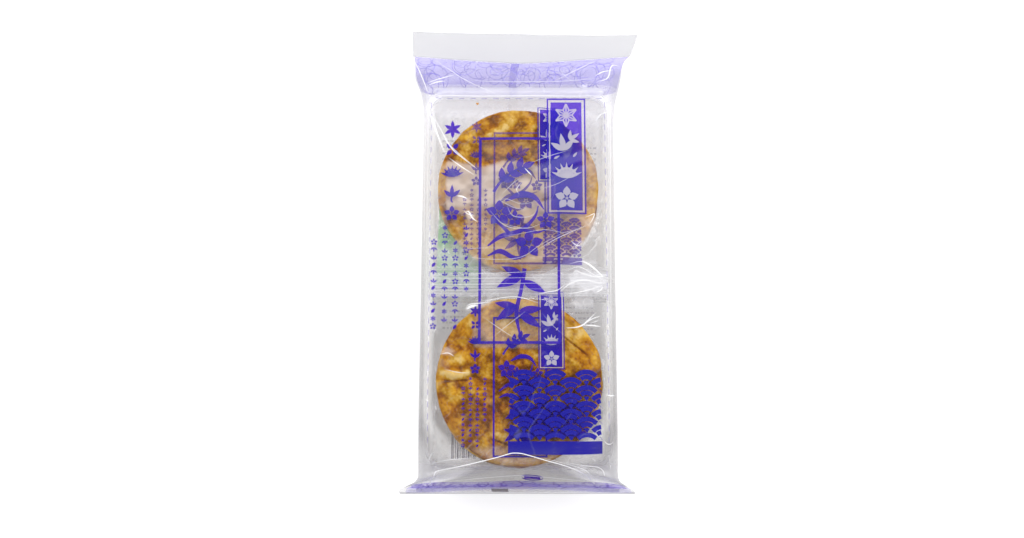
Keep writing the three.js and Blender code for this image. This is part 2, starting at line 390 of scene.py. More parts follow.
def wrap_height(stack, x, y, height, fine=True):
    """Half thickness and middle height of a cracker's wrap at x, y: 4.3 mm over the cracker, falling away
    outside its rim to a flat end. Where it is fine, it has folds that fan out from the rim, and ripples."""
    middle_x, middle_y = STACK_MIDDLES[stack]
    ends = WRAPS[stack]
    away = np.hypot(x - middle_x, y - middle_y)
    angle = np.arctan2(y - middle_y, x - middle_x)
    half = WRAP_FLAT + WRAP_RISE * smooth(51, 42, away)
    from_weld = np.abs(y - ends["weld"])
    to_weld = smooth(ends["length"] + 7, ends["length"], from_weld)
    half = half * (1 - to_weld) + WRAP_FLAT * to_weld
    if fine:
        pleats = ridges(14 * angle + 60, away / 26 + 20, 1.0, 11 + stack)
        ripple = mottle(x + 200, y + 200, 6.5, 13 + stack) - 0.5
        rim = smooth(30, 42, away) * (1 - to_weld)
        half = half + 0.4 * (pleats - 0.5) * rim * smooth(0.3, 1.5, half) + 0.3 * ripple * smooth(1, 3, half)
    lean = (ends["weld_z"] - LAYER_HEIGHTS[TOP_LAYER]) * smooth(30, 8, from_weld)
    return half, height + lean


def soft_strip(x, y, start, end, half_width):
    """1 on the line from start to end, falling softly to 0 at half_width aside and 2 mm beyond its two
    ends."""
    length = np.hypot(*np.subtract(end, start))
    way = np.subtract(end, start) / length
    aside = np.abs((x - start[0]) * way[1] - (y - start[1]) * way[0])
    onward = (x - start[0]) * way[0] + (y - start[1]) * way[1]
    ends = smooth(-2, 1, onward) * smooth(length + 2, length - 1, onward)
    return smooth(half_width, 0.4 * half_width, aside) * ends


SHEEN_EDGE_X = [-44, -40, -36, -28, -20, -12, -2, 11, 15, 27, 34, 38, 42]
SHEEN_EDGE_Y = [38, 44.6, 46.3, 45.6, 42.8, 44.9, 47.0, 43.5, 45.6, 49.7, 52.5, 49.7, 42.8]


def painted_sheen(x, y):
    """Painted sheen: the lights' broad reflection on the film, painted in as white haze. Over the head stack
    it is a broad field with a ragged upper edge, clear at its sides, at its lower left and along two slanting
    strips. Over the foot stack it is a smaller field. Each border is a smooth step of x or y, moved by soft
    noise where it is ragged."""
    edge = np.interp(x, SHEEN_EDGE_X, SHEEN_EDGE_Y)
    wander = 0.9 * (mottle(x + 200, y + 200, 3.0, 61) - 0.5)
    ragged_x, ragged_y = x + wander, y + wander
    clear = smooth(-25.5, -28.5, ragged_x) * smooth(-37, -34.5, ragged_x)
    clear = clear * smooth(18.5, 15.5, y) * smooth(2, 6, y)
    right = smooth(36.5, 32.5, ragged_x) + (0.45 + 0.55 * smooth(14, 8, y)) * smooth(42.5, 39, x)
    left = (0.3 + 0.7 * smooth(20, 14, y)) * smooth(-43.5, -41, x)
    left = np.maximum(smooth(-38.6, -35.8, ragged_x), left)
    head = smooth(1.0, -1.8, y - edge + wander) * smooth(-18, -8, y)
    head = head * left * np.minimum(right, 1) * (1 - 0.85 * clear)
    head = head * (1 - 0.7 * soft_strip(x, y, (12, 36.2), (34, 45.2), 1.7))
    head = head * (1 - 0.4 * soft_strip(x, y, (12, 25), (27, 28.4), 1.2))
    head = head * (0.50 + 0.50 * smooth(8, 28, y))
    above = smooth(58, 56, y) * smooth(44, 48, y) * smooth(-20, -18, x) * smooth(16, 13, x)
    foot = smooth(-22, -27, y) * smooth(-52.6, -50.6, ragged_y)
    foot = foot * smooth(-23.4, -21.6, ragged_x) * smooth(25, 20, x)
    foot_rim = smooth(-99, -104, y) * smooth(43, 40, np.hypot(x - 0.4, y + 68))
    low = smooth(-70, -95, y) * (0.07 + 0.45 * foot_rim)
    return head + 0.22 * above + 0.35 * foot + low


GLARES = [   # each patch's middle, two half sizes, turn and how bright it is
    (36.0, -17.2, 12.5, 6.6, -0.12, 0.90), (30.5, 1.8, 5.0, 3.4, 0.3, 0.42),
    (37.5, 14.0, 3.4, 4.4, -0.6, 0.40), (-29.0, 25.6, 6.0, 1.8, -0.4, 0.45),
    (-24.4, 17.0, 3.4, 2.6, -0.9, 0.45), (-26.0, 7.0, 3.0, 6.0, 0.2, 0.22),
    (-35.5, -53.6, 5.4, 3.0, 0.25, 0.40), (-19.5, -30.4, 9.0, 1.7, 0.30, 0.35),
    (3.5, 35.0, 3.4, 4.0, -0.7, 0.22), (-16.0, 28.0, 8.0, 12.0, 0.2, 0.30),
    (33.0, -27.5, 10.0, 5.5, 0.1, 0.40)]


def glare(x, y):
    """Small bright patches where the wrap's crumpled film mirrors the lights. Each is an ellipse, full up to
    a quarter of its size and falling to 0 at its edge, which soft noise makes ragged."""
    total = 0 * x
    ragged = 0.35 * (mottle(x * 1.4 + 200, y * 1.4 + 200, 2.6, 71) - 0.5)
    for middle_x, middle_y, half_x, half_y, turn, bright in GLARES:
        along = (x - middle_x) * np.cos(turn) + (y - middle_y) * np.sin(turn)
        aside = (y - middle_y) * np.cos(turn) - (x - middle_x) * np.sin(turn)
        total = total + bright * smooth(1.0, 0.25, np.hypot(along / half_x, aside / half_y) + ragged)
    return total


def wrap(stack, layer):
    """A pillow skin over the wrap's own rectangle, whose sides draw in a little where the cracker fills it.
    The weld's ribs are a cosine of the way from its edge. Only the top wrap has folds, and the painted sheen
    and painted glare of the lights as white haze in its veil."""
    ends, on_top = WRAPS[stack], layer == TOP_LAYER
    middle_x, middle_y = STACK_MIDDLES[stack]
    rows, columns = WRAP_GRIDS[layer]
    y = np.sort(ends["plain"] + (ends["weld"] - ends["plain"]) * np.linspace(0, 1, rows))[:, None]
    half_width = WRAP_HALF_WIDTH - 0.8 * smooth(52, 30, np.abs(y - middle_y))
    closer_at_sides = np.sin(np.linspace(-0.5, 0.5, columns) * np.pi)
    x = WRAP_MIDDLE_X + half_width * (0.35 * closer_at_sides + 0.65 * np.linspace(-1, 1, columns))[None]
    y = np.repeat(y, columns, 1)
    outward = np.abs(x - WRAP_MIDDLE_X) / half_width
    half, middle_z = wrap_height(stack, x, y, LAYER_HEIGHTS[layer], fine=on_top)
    half = half * smooth(1.0, 0.955, outward) + WRAP_EDGE
    from_weld = np.abs(y - ends["weld"])
    welded = smooth(ends["length"] + 0.4, ends["length"], from_weld)
    rib = 0.5 + 0.5 * np.cos(from_weld * 2 * np.pi / RIB_PITCH)
    half = half * (1 - welded) + 0.14 * welded
    middle_z = middle_z + 0.28 * rib * welded
    points, quads = pillow(x, y, middle_z + half, middle_z - half)
    from_middle = np.hypot(x - middle_x, y - middle_y)
    crease = smooth(0.84, 0.97, ridges(x + y + 300, x - y + 300, 5.5, 21 + stack))
    crease = crease * smooth(22, 45, from_middle)
    veil = LEAST_VEIL + 0.12 * crease + welded * (0.26 + 0.26 * rib**4) * (1 if on_top else 0.3)
    veil = veil + 0.10 * smooth(0.93, 1.0, outward)
    under = np.clip(veil * 0.3, LEAST_VEIL, MOST_VEIL)
    painted_sheen_and_glare = 0 * x
    if on_top:
        # painted sheen and glare: the lights' reflection on the top wrap, painted into its veil as white haze
        streak = 0.3 + 0.8 * mottle(x * 0.5 + y + 200, y - x * 0.3 + 200, 9, 27)
        streak = streak + 0.6 * mottle(x + 200, y * 1.5 + 200, 3.5, 29)
        painted_sheen_and_glare = 0.56 * painted_sheen(x, y) * streak * (1 - welded) + glare(x, y)
    veil = np.clip(veil + painted_sheen_and_glare, LEAST_VEIL, MOST_VEIL)
    tone = 0.3 + 0.7 * np.clip(welded + crease + 4 * painted_sheen_and_glare, 0, 1)
    warm = smooth(0.0, 0.3, painted_sheen_and_glare) * (1 - welded) * smooth(46, 40, from_middle)
    return piece(f"wrap_{STACKS[stack]}_{layer + 1}", points, quads, wrap_look, "film",
                 veil=np.concatenate([veil.ravel(), under.ravel()]), tone=np.tile(tone.ravel(), 2),
                 warm=np.tile(warm.ravel(), 2))


for stack in range(len(STACKS)):
    for layer in range(len(LAYER_HEIGHTS)):
        wrap(stack, layer)


# Tray: a shallow open tray of thin clear plastic, formed in one piece, that keeps the two stacks in line.
# The pack is drawn tight over it, and the stacks stand loose in it.

TRAY_MIDDLE_X = 0.3
TRAY_HEAD_Y, TRAY_FOOT_Y = 83.5, -111.0
TRAY_HALF_WIDTH = 47.2
TRAY_CORNER_RADIUS = 9
TRAY_FLOOR_SHARES = [0.02, 0.3, 0.6, 0.85]      # of the floor's size, for the loops that fill it
TRAY_FLOOR_INSET, TRAY_FLOOR_TOP, TRAY_FLOOR_BOTTOM = 4.6, 1.2, 0.7
TRAY_PROFILE = [   # inset from the outer edge and height, up the inside, over the rim and down the outside
    (4.6, 1.2), (3.9, 1.5), (3.5, 2.3), (2.9, 9.0), (2.3, 18.5), (2.05, 20.1), (1.5, 20.8), (0.9, 21.0),
    (0.2, 21.0), (0.0, 20.7), (0.2, 20.5), (0.9, 20.5), (1.35, 20.2), (1.65, 19.4), (1.9, 18.5), (2.5, 9.0),
    (3.1, 2.1), (3.7, 1.0), (4.6, 0.7)]

tray_look = film_look("tray_plastic", 0.2, ((176, 173, 172), (240, 240, 242)))


def rounded(half_x, half_y, radius, corner_points=9, side_steps=12):
    """A loop of points round a rounded rectangle, counter-clockwise: points on each quarter circle at equal
    angles, and equal steps along each side."""
    angle = np.linspace(0, np.pi / 2, corner_points)
    quarters = []
    for quarter, (sx, sy) in enumerate([(1, 1), (-1, 1), (-1, -1), (1, -1)]):
        turned = angle + quarter * np.pi / 2
        quarters.append(np.stack([sx * (half_x - radius) + radius * np.cos(turned),
                                  sy * (half_y - radius) + radius * np.sin(turned)], -1))
    loop = np.concatenate(quarters)
    ahead = np.roll(loop, -1, 0)
    on_side = np.hypot(*(ahead - loop).T) > 3 * radius / corner_points
    steps = [np.linspace(first, last, side_steps + 1 if side else 2)[:-1]
             for first, last, side in zip(loop, ahead, on_side)]
    return np.concatenate(steps)


half_length = (TRAY_HEAD_Y - TRAY_FOOT_Y) / 2
floor_edge = rounded(TRAY_HALF_WIDTH - TRAY_FLOOR_INSET, half_length - TRAY_FLOOR_INSET, 6.2)
loops = [(floor_edge * share, TRAY_FLOOR_TOP) for share in TRAY_FLOOR_SHARES]
for inset, height in TRAY_PROFILE:
    radius = TRAY_CORNER_RADIUS - 0.6 * inset
    loops.append((rounded(TRAY_HALF_WIDTH - inset, half_length - inset, radius), height))
loops += [(floor_edge * share, TRAY_FLOOR_BOTTOM) for share in TRAY_FLOOR_SHARES[::-1]]
rings = np.stack([np.column_stack([loop, np.full(len(loop), height)]) for loop, height in loops])
rings += np.array([TRAY_MIDDLE_X, (TRAY_HEAD_Y + TRAY_FOOT_Y) / 2, 0])
points, quads, fans = ring_shell(rings)
level = points[:, 2]
# The tray's rim is white haze: a painted highlight where the lights catch it.
veil = 0.05 + 0.08 * smooth(2.0, 6.0, level) + 0.16 * smooth(20.0, 20.8, level)
piece("tray", points, quads, tray_look, "film", fans, veil=veil, tone=smooth(19.5, 20.9, level))


# Outer film: the pack itself, a tube of clear printed film drawn tight over the tray, welded flat at the
# head and folded up and welded at the foot, with a fin seal down its back.

# Stations from the head edge to the foot edge: y and z of the front film and of the back film at mid width,
# half width, shift across, corner run, and how far the sides of the front and of the back trail towards the
# foot.
STATIONS = np.array([
    [120.7, 13.4, 120.7, 12.6, 61.4, 4.2, 0.8, -1, -1],
    [105.3, 13.4, 105.3, 12.6, 58.9, 2.1, 0.8, -4, -4],
    [102, 16.4, 102, 10, 57.2, 0.8, 22, -3, -3],
    [95, 22.5, 96, 5, 55.6, 0.2, 24, -0.8, -0.8],
    [87, 28.2, 88, 1, 53.0, 0.8, 14, 0, 0],
    [81, 30, 81, 0, 51.6, 0.7, 8, 0, 0],
    [60, 30, 60, 0, 50.4, 0.4, 7.5, 0, 0],
    [-78, 30, -78, 0, 50.4, 0, 7.5, 0, 0],
    [-97, 30, -97, 0, 50.6, 0, 22, 6, 0],
    [-104.4, 30, -106, 1, 50.4, 0, 40, 13.6, 3],
    [-111.4, 25, -113.5, 5, 51.4, -0.2, 30, 6.4, 3.4],
    [-115, 14.2, -116.6, 12.2, 56.6, -1.0, 12, 5, 5],
    [-120.6, 30, -121.4, 29.8, 57.6, -1.2, 0.8, 1, 1],
    [-123.2, 44, -124.0, 43.8, 56.6, -0.4, 0.8, 0, 0],
])
LAST_STATION = len(STATIONS) - 1
STATION_ROWS = [16, 8, 12, 14, 12, 24, 150, 32, 22, 24, 20, 26, 18]     # rows of points from each to the next
BOW_POWER = 1.25
EAR_RISE = 1.9                  # how much further out the head weld's left corner stands
RIM_MIDDLE_Y, RIM_HALF_WIDTH, RIM_HALF_LENGTH, RIM_RADIUS = -8, 45.5, 89, 9
RIM_SINK = 0.9                  # how far the front lies lower inside the tray's rim
BULGE_YS, BULGE_RADIUS, BULGE_RISE = (29, -70), 42, 1.4
VALLEY_Y, VALLEY_HALF_WIDTH, VALLEY_DEPTH = -18, 11, 1.6
HEAD_CREASES = [   # ends, half width and rise
    ((-57, 112), (-38, 68), 2.2, 1.2), ((-48, 90), (-26, 52), 2, 0.7), ((58, 108), (40, 88), 2.4, 1.3),
    ((47, 100), (30, 84), 2, 0.8)]


def station(s):
    """The stations' numbers at s, from 0 at the head edge to 13 at the foot edge: Hermite curves through
    them whose slopes are the harmonic means of the neighbouring steps, so that nothing overshoots."""
    steps = np.diff(STATIONS, axis=0)
    before, after = steps[:-1], steps[1:]
    same = before * after > 0
    slopes = np.zeros_like(STATIONS)
    slopes[1:-1] = np.where(same, 2 * before * after / np.where(same, before + after, 1), 0)
    i = np.clip(np.floor(s).astype(int), 0, LAST_STATION - 1)
    t = (s - i)[..., None]
    return ((2 * t**3 - 3 * t**2 + 1) * STATIONS[i] + (t**3 - 2 * t**2 + t) * slopes[i]
            + (3 * t**2 - 2 * t**3) * STATIONS[i + 1] + (t**3 - t**2) * slopes[i + 1])


def relief(x, y):
    """How far the front film lies off its plain loft: sunk inside the tray's rim, up over the stacks, down
    in the valley between them, creased from the head's corners, and crinkled by soft noise folded at its
    middle."""
    dx = np.abs(x) - (RIM_HALF_WIDTH - RIM_RADIUS)
    dy = np.abs(y - RIM_MIDDLE_Y) - (RIM_HALF_LENGTH - RIM_RADIUS)
    depth = RIM_RADIUS - np.hypot(np.maximum(dx, 0), np.maximum(dy, 0)) - np.minimum(np.maximum(dx, dy), 0)
    height = -RIM_SINK * smooth(0, 4, depth)
    for middle_y in BULGE_YS:
        away = np.hypot(x, y - middle_y) / BULGE_RADIUS
        height = height + BULGE_RISE * (1 - smooth(0.55, 1.05, away))
    valley = 1 - smooth(0, 1, np.abs(y - VALLEY_Y) / VALLEY_HALF_WIDTH)
    height = height - VALLEY_DEPTH * valley * smooth(0, 8, depth)
    for start, end, half_width, rise in HEAD_CREASES:
        height = height + rise * near_line(x, y, start, end, half_width, (0, 0.25), (1, 0.6))
    crinkle = ridges(x * 0.8 + y * 0.5 + 300, y * 0.8 - x * 0.5 + 300, 13, 31)
    return height + 0.25 * crinkle * smooth(1, 5, depth)


def skin_point(s, a, u):
    """The film at station s, a of the half width across and u of the half height up. The front and the back
    both trail towards the foot at their sides, by their bow times |a|^1.25."""
    front_y, front_z, back_y, back_z, half, shift, _, front_bow, back_bow = np.moveaxis(station(s), -1, 0)
    middle_y, middle_z = (front_y + back_y) / 2, (front_z + back_z) / 2
    up_y, up_z = (front_y - back_y) / 2, (front_z - back_z) / 2
    half_height = np.hypot(up_y, up_z)
    x = shift + a * half
    bow = (front_bow * (1 + u) + back_bow * (1 - u)) / 2
    y = middle_y + u * up_y - bow * np.abs(a) ** BOW_POWER
    lift = np.where(u > 0.99, smooth(4, 12, half_height) * relief(x, y), 0) / half_height
    return np.stack([x, y + lift * up_y, middle_z + u * up_z + lift * up_z], -1)


def corner(s):
    """The share of the half width and of the half height that the corners take at station s."""
    front_y, front_z, back_y, back_z, half, _, run, _, _ = np.moveaxis(station(s), -1, 0)
    half_height = np.hypot(front_y - back_y, front_z - back_z) / 2
    rise = np.minimum(half_height * 0.92, 10 + run * 0.2) / half_height
    return np.minimum(run, half * 0.94) / half, rise


def on_film(s, a, lift=0.0, back=False):
    """Points on the front or back film at station s and a of the half width across, moved out by lift."""
    run, rise = corner(s)

    def place(s, a):
        t = np.clip((1 - np.abs(a)) / run, 0, 1)
        u = 1 - rise + rise * np.sqrt(1 - (1 - t) ** 2)
        return skin_point(s, a, -u if back else np.where(t >= 1, 1.0, u))

    point = place(s, a)
    across = place(s, a + 0.004) - place(s, a - 0.004)
    onward = place(s - 0.01, a) - place(s + 0.01, a)
    normal = np.cross(across, onward) * (-1 if back else 1)
    return point + lift * normal / np.linalg.norm(normal, axis=-1, keepdims=True)


def film_at(x, y, lift=0.0):
    """Points on the front film over x and y: the station is found from y, and the bow there added back, in
    turns."""
    stations = np.linspace(0, LAST_STATION, 40 * LAST_STATION + 1)
    front = station(stations)[:, 0]
    s = np.interp(-y, -front, stations)
    for _ in range(12):
        half, shift, _, front_bow, _ = np.moveaxis(station(s)[..., 4:], -1, 0)
        a = np.clip((x - shift) / half, -0.999, 0.999)
        wanted = y + front_bow * np.abs(a) ** BOW_POWER
        s = 0.5 * s + 0.5 * np.interp(-wanted, -front, stations)
    return on_film(s, a, lift)


def half_section(run, rise, face_steps, corner_steps, side_steps):
    """a and u from the side, round an elliptical corner and along the face to the middle, for stations in
    rows."""
    side_u = (1 - rise) * np.arange(side_steps)[None] / side_steps
    angle = np.pi / 2 * np.arange(corner_steps)[None] / corner_steps
    face_a = (1 - run) * (1 - np.arange(face_steps + 1) / face_steps)
    a = [np.ones_like(side_u), 1 - run * (1 - np.cos(angle)), face_a]
    u = [side_u, 1 - rise * (1 - np.sin(angle)), np.ones((len(run), face_steps + 1))]
    return np.concatenate(a, 1), np.concatenate(u, 1)


rows = [np.linspace(i, i + 1, count, endpoint=False) for i, count in enumerate(STATION_ROWS)]
rows = np.concatenate(rows + [[LAST_STATION]])[:, None]
run, rise = corner(rows)
front_a, front_u = half_section(run, rise, 62, 14, 2)
back_a, back_u = half_section(run, rise, 16, 8, 2)
a = np.concatenate([front_a, -front_a[:, -2::-1], -back_a[:, 1:], back_a[:, -2:0:-1]], 1)
u = np.concatenate([front_u, front_u[:, -2::-1], -back_u[:, 1:], -back_u[:, -2:0:-1]], 1)
s = np.repeat(rows, a.shape[1], 1)
skin = skin_point(s, a, u)
skin[..., 1] += EAR_RISE * smooth(-34, -60, skin[..., 0]) * smooth(108, 120, skin[..., 1])
x, y, z = np.moveaxis(skin, -1, 0)
count, around = a.shape

# Where each kind of haze lies, then the veil that comes of it and how white that is. The sheen over the
# stacks is painted: the lights' reflection, painted in as white haze.
front = smooth(0.55, 1.0, u)
crease = smooth(0.93, 0.99, ridges(x * 0.9 + y * 0.4 + 200, y * 0.5 - x * 0.7 + 200, 9, 35))
crease = crease * smooth(1.0, 1.4, s) * smooth(12.0, 11.6, s)
foot_ward = smooth(110, -110, y)
wall = smooth(0.97, 0.5, np.abs(u)) * smooth(1.5, 4, s) * smooth(12.5, 11, s)
end_corner = smooth(-90, -106, y)
shoulder = smooth(82, 87, y) * smooth(103, 98, y)
# rim: a white band inside the tray's head rim, a painted highlight where the film bends over it
rim = smooth(79.5, 81.5, y) * smooth(87.5, 85.0, y) * smooth(47, 43, np.abs(x)) * front
head_weld = smooth(1.04, 0.96, s)
foot_weld = smooth(11.9, 12.05, s)
tip = smooth(0.72, 0.95, np.abs(a))
# The end panel over the foot gets painted light in its middle and painted shade at its ends, as paler and
# greyer haze.
end_panel_painted_light = smooth(-105, -111, y) * smooth(-0.1, 0.2, u) * (1 - foot_weld)
end_panel_ends_painted_shade = end_panel_painted_light * smooth(0.15, 0.7, np.abs(a)) * smooth(0.95, 0.72, np.abs(a)) * smooth(11.3, 10.2, s)

veil = 0.02 + 0.016 * (mottle(x + 200, y + 200, 11, 37) - 0.5)
# The side walls are grey haze, greyer towards the foot: partly the film's own haze, partly painted shade.
veil = veil + wall * (0.27 + 0.30 * foot_ward) * (1 - 0.4 * end_corner)
veil = veil + smooth(-0.9, -1.0, u) * (0.06 + 0.45 * foot_ward) * smooth(1.0, 3.0, s)
veil = veil + front * (0.10 * painted_sheen(x, y) + 0.08 * crease) + 0.08 * shoulder + 0.42 * rim
veil = veil * (1 - head_weld) + 0.62 * head_weld
veil = veil * (1 - foot_weld) + (0.5 + 0.1 * tip) * foot_weld
veil = np.clip(veil + 0.14 * end_panel_painted_light + 0.24 * end_panel_ends_painted_shade, 0.015, 0.85)
tone = painted_sheen(x, y) * front + 0.86 * head_weld + (0.66 - 0.25 * tip) * foot_weld + rim + crease * front
least = 0.35 - 0.35 * foot_ward + 0.25 * (end_panel_painted_light - end_panel_ends_painted_shade)
least = least + 0.12 * end_corner * smooth(0.97, 0.6, np.abs(u))
tone = np.maximum(np.clip(tone, 0, 1), least)

# Bars between the front and the back film close the tube at its two ends. The outermost have three corners.
right = np.arange(around // 2 + 1)
left = (-right) % around
bars = np.stack([right[:-1], right[1:], left[1:], left[:-1]], -1)
ends = np.concatenate([bars[:, ::-1], bars + (count - 1) * around])
pointed = (ends[:, 0] == ends[:, 3]) | (ends[:, 1] == ends[:, 2])
corners = [list(dict.fromkeys(bar)) for bar in ends[pointed].tolist()]
quads = np.concatenate([net(count, around, closed=True), ends[~pointed]])
pack_look = film_look("pack_film", 0.07, ((126, 122, 128), (239, 239, 243)))
outer = piece("outer_film", skin.reshape(-1, 3), quads, pack_look, "film",
              [bar for bar in corners if len(bar) == 3], veil=veil.ravel(), tone=tone.ravel())
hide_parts("sealed_pack")


# Back fin: the tube's own seam, where the film's two edges are welded face to face and the fin is laid flat
# along the back. It lies just inside the back film.

v, w = np.meshgrid(np.linspace(1.2, 11.6, 200), np.linspace(-0.135, -0.015, 6), indexing="ij")
points = np.concatenate([on_film(v, w, lift, back=True).reshape(-1, 3) for lift in (-0.15, -0.35)])
edge, ahead = edge_of(*v.shape)
face = net(*v.shape)
belt = np.stack([edge, ahead, ahead + v.size, edge + v.size], -1)
quads = np.concatenate([face, face[:, ::-1] + v.size, belt])
piece("back_fin", points, quads, pack_look, "film", veil=0.03, tone=1.0)


# Creases and glints: fine sharp folds pressed into the outer film, where the plastic has turned white, and
# painted highlights along them where the lights glint on the film. Each is a hair of whitened film on the
# pack's face, and part of it, and it glows a little with painted light.

crease_and_glint_look, start = new_material("crease_white_and_glint")
white = start.make("BsdfPrincipled", {"Base Color": colour(250, 250, 252), "Roughness": 0.3,
                                      "Emission Color": colour(255, 255, 255), "Emission Strength": 0.25})
clear = start.make("BsdfTransparent", {})
show(start, start.make("MixShader", {0: start.point_value("veil"), 1: clear, 2: white}))


def bent(points, count=40):
    """A Catmull-Rom curve through the points: cubics whose slope at each point is half the step from the
    point before it to the one after."""
    p = np.array(points, float)
    p = np.concatenate([[2 * p[0] - p[1]], p, [2 * p[-1] - p[-2]]])
    t = np.linspace(0, len(p) - 3, count)
    i = np.minimum(t.astype(int), len(p) - 4)
    t = (t - i)[:, None]
    a, b, c, d = p[i], p[i + 1], p[i + 2], p[i + 3]
    return 0.5 * (2 * b + (c - a) * t + (2 * a - 5 * b + 4 * c - d) * t**2 + (3 * b - a - 3 * c + d) * t**3)


def ribbon(path, width, step=1.4):
    """Rows of points across a flat ribbon along the path, a step apart. width is one number or one a path
    point."""
    path = np.array(path, float)
    gone = np.concatenate([[0], np.cumsum(np.hypot(*np.diff(path, axis=0).T))])
    t = np.linspace(0, gone[-1], max(2, int(np.ceil(gone[-1] / step)) + 1))
    middle = np.stack([np.interp(t, gone, path[:, 0]), np.interp(t, gone, path[:, 1])], -1)
    wide = np.interp(t, gone, np.broadcast_to(width, len(path)))
    way = np.gradient(middle, axis=0)
    way = way / np.maximum(np.hypot(*way.T), 1e-9)[:, None]
    aside = np.linspace(-0.5, 0.5, max(2, int(np.ceil(wide.max() / 2.2)) + 1))
    right = np.stack([way[:, 1], -way[:, 0]], -1)
    return middle[:, None] + right[:, None] * (aside[None, :, None] * wide[:, None, None])


def lay(name, ribbons, surface, material, slot, veils=None):
    """One piece from flat ribbons laid on a surface, which gives points from x and y. Where veils are given,
    one a ribbon, each fades towards the ribbon's ends by the root of a half sine."""
    points, quads, strength, count = [], [], [], 0
    for number, flat in enumerate(ribbons):
        across = flat.shape[1]
        points.append(flat.reshape(-1, 2))
        quads.append(net(flat.shape[0], across) + count)
        run = np.sin(np.pi * np.linspace(0.04, 0.96, flat.shape[0])) ** 0.5
        strength.append(np.repeat(run, across) * (1 if veils is None else veils[number]))
        count += flat.shape[0] * across
    flat = np.concatenate(points)
    values = {} if veils is None else {"veil": np.concatenate(strength)}
    return piece(name, surface(flat[:, 0], flat[:, 1]), np.concatenate(quads), material, slot, **values)


def on_front(lift):
    """A surface for lay: the front film, moved out by lift."""
    def place(x, y):
        return film_at(x, y, lift)
    return place


def on_band(s_low, s_high, back=False, lift=-0.12):
    """A surface for lay in which x runs across the film in half widths of 50 and y from station s_low at 0
    to s_high at 1, so that prints can follow the welded ends."""
    def place(x, y):
        return on_film(s_low + (s_high - s_low) * y, x / 50, lift, back)
    return place
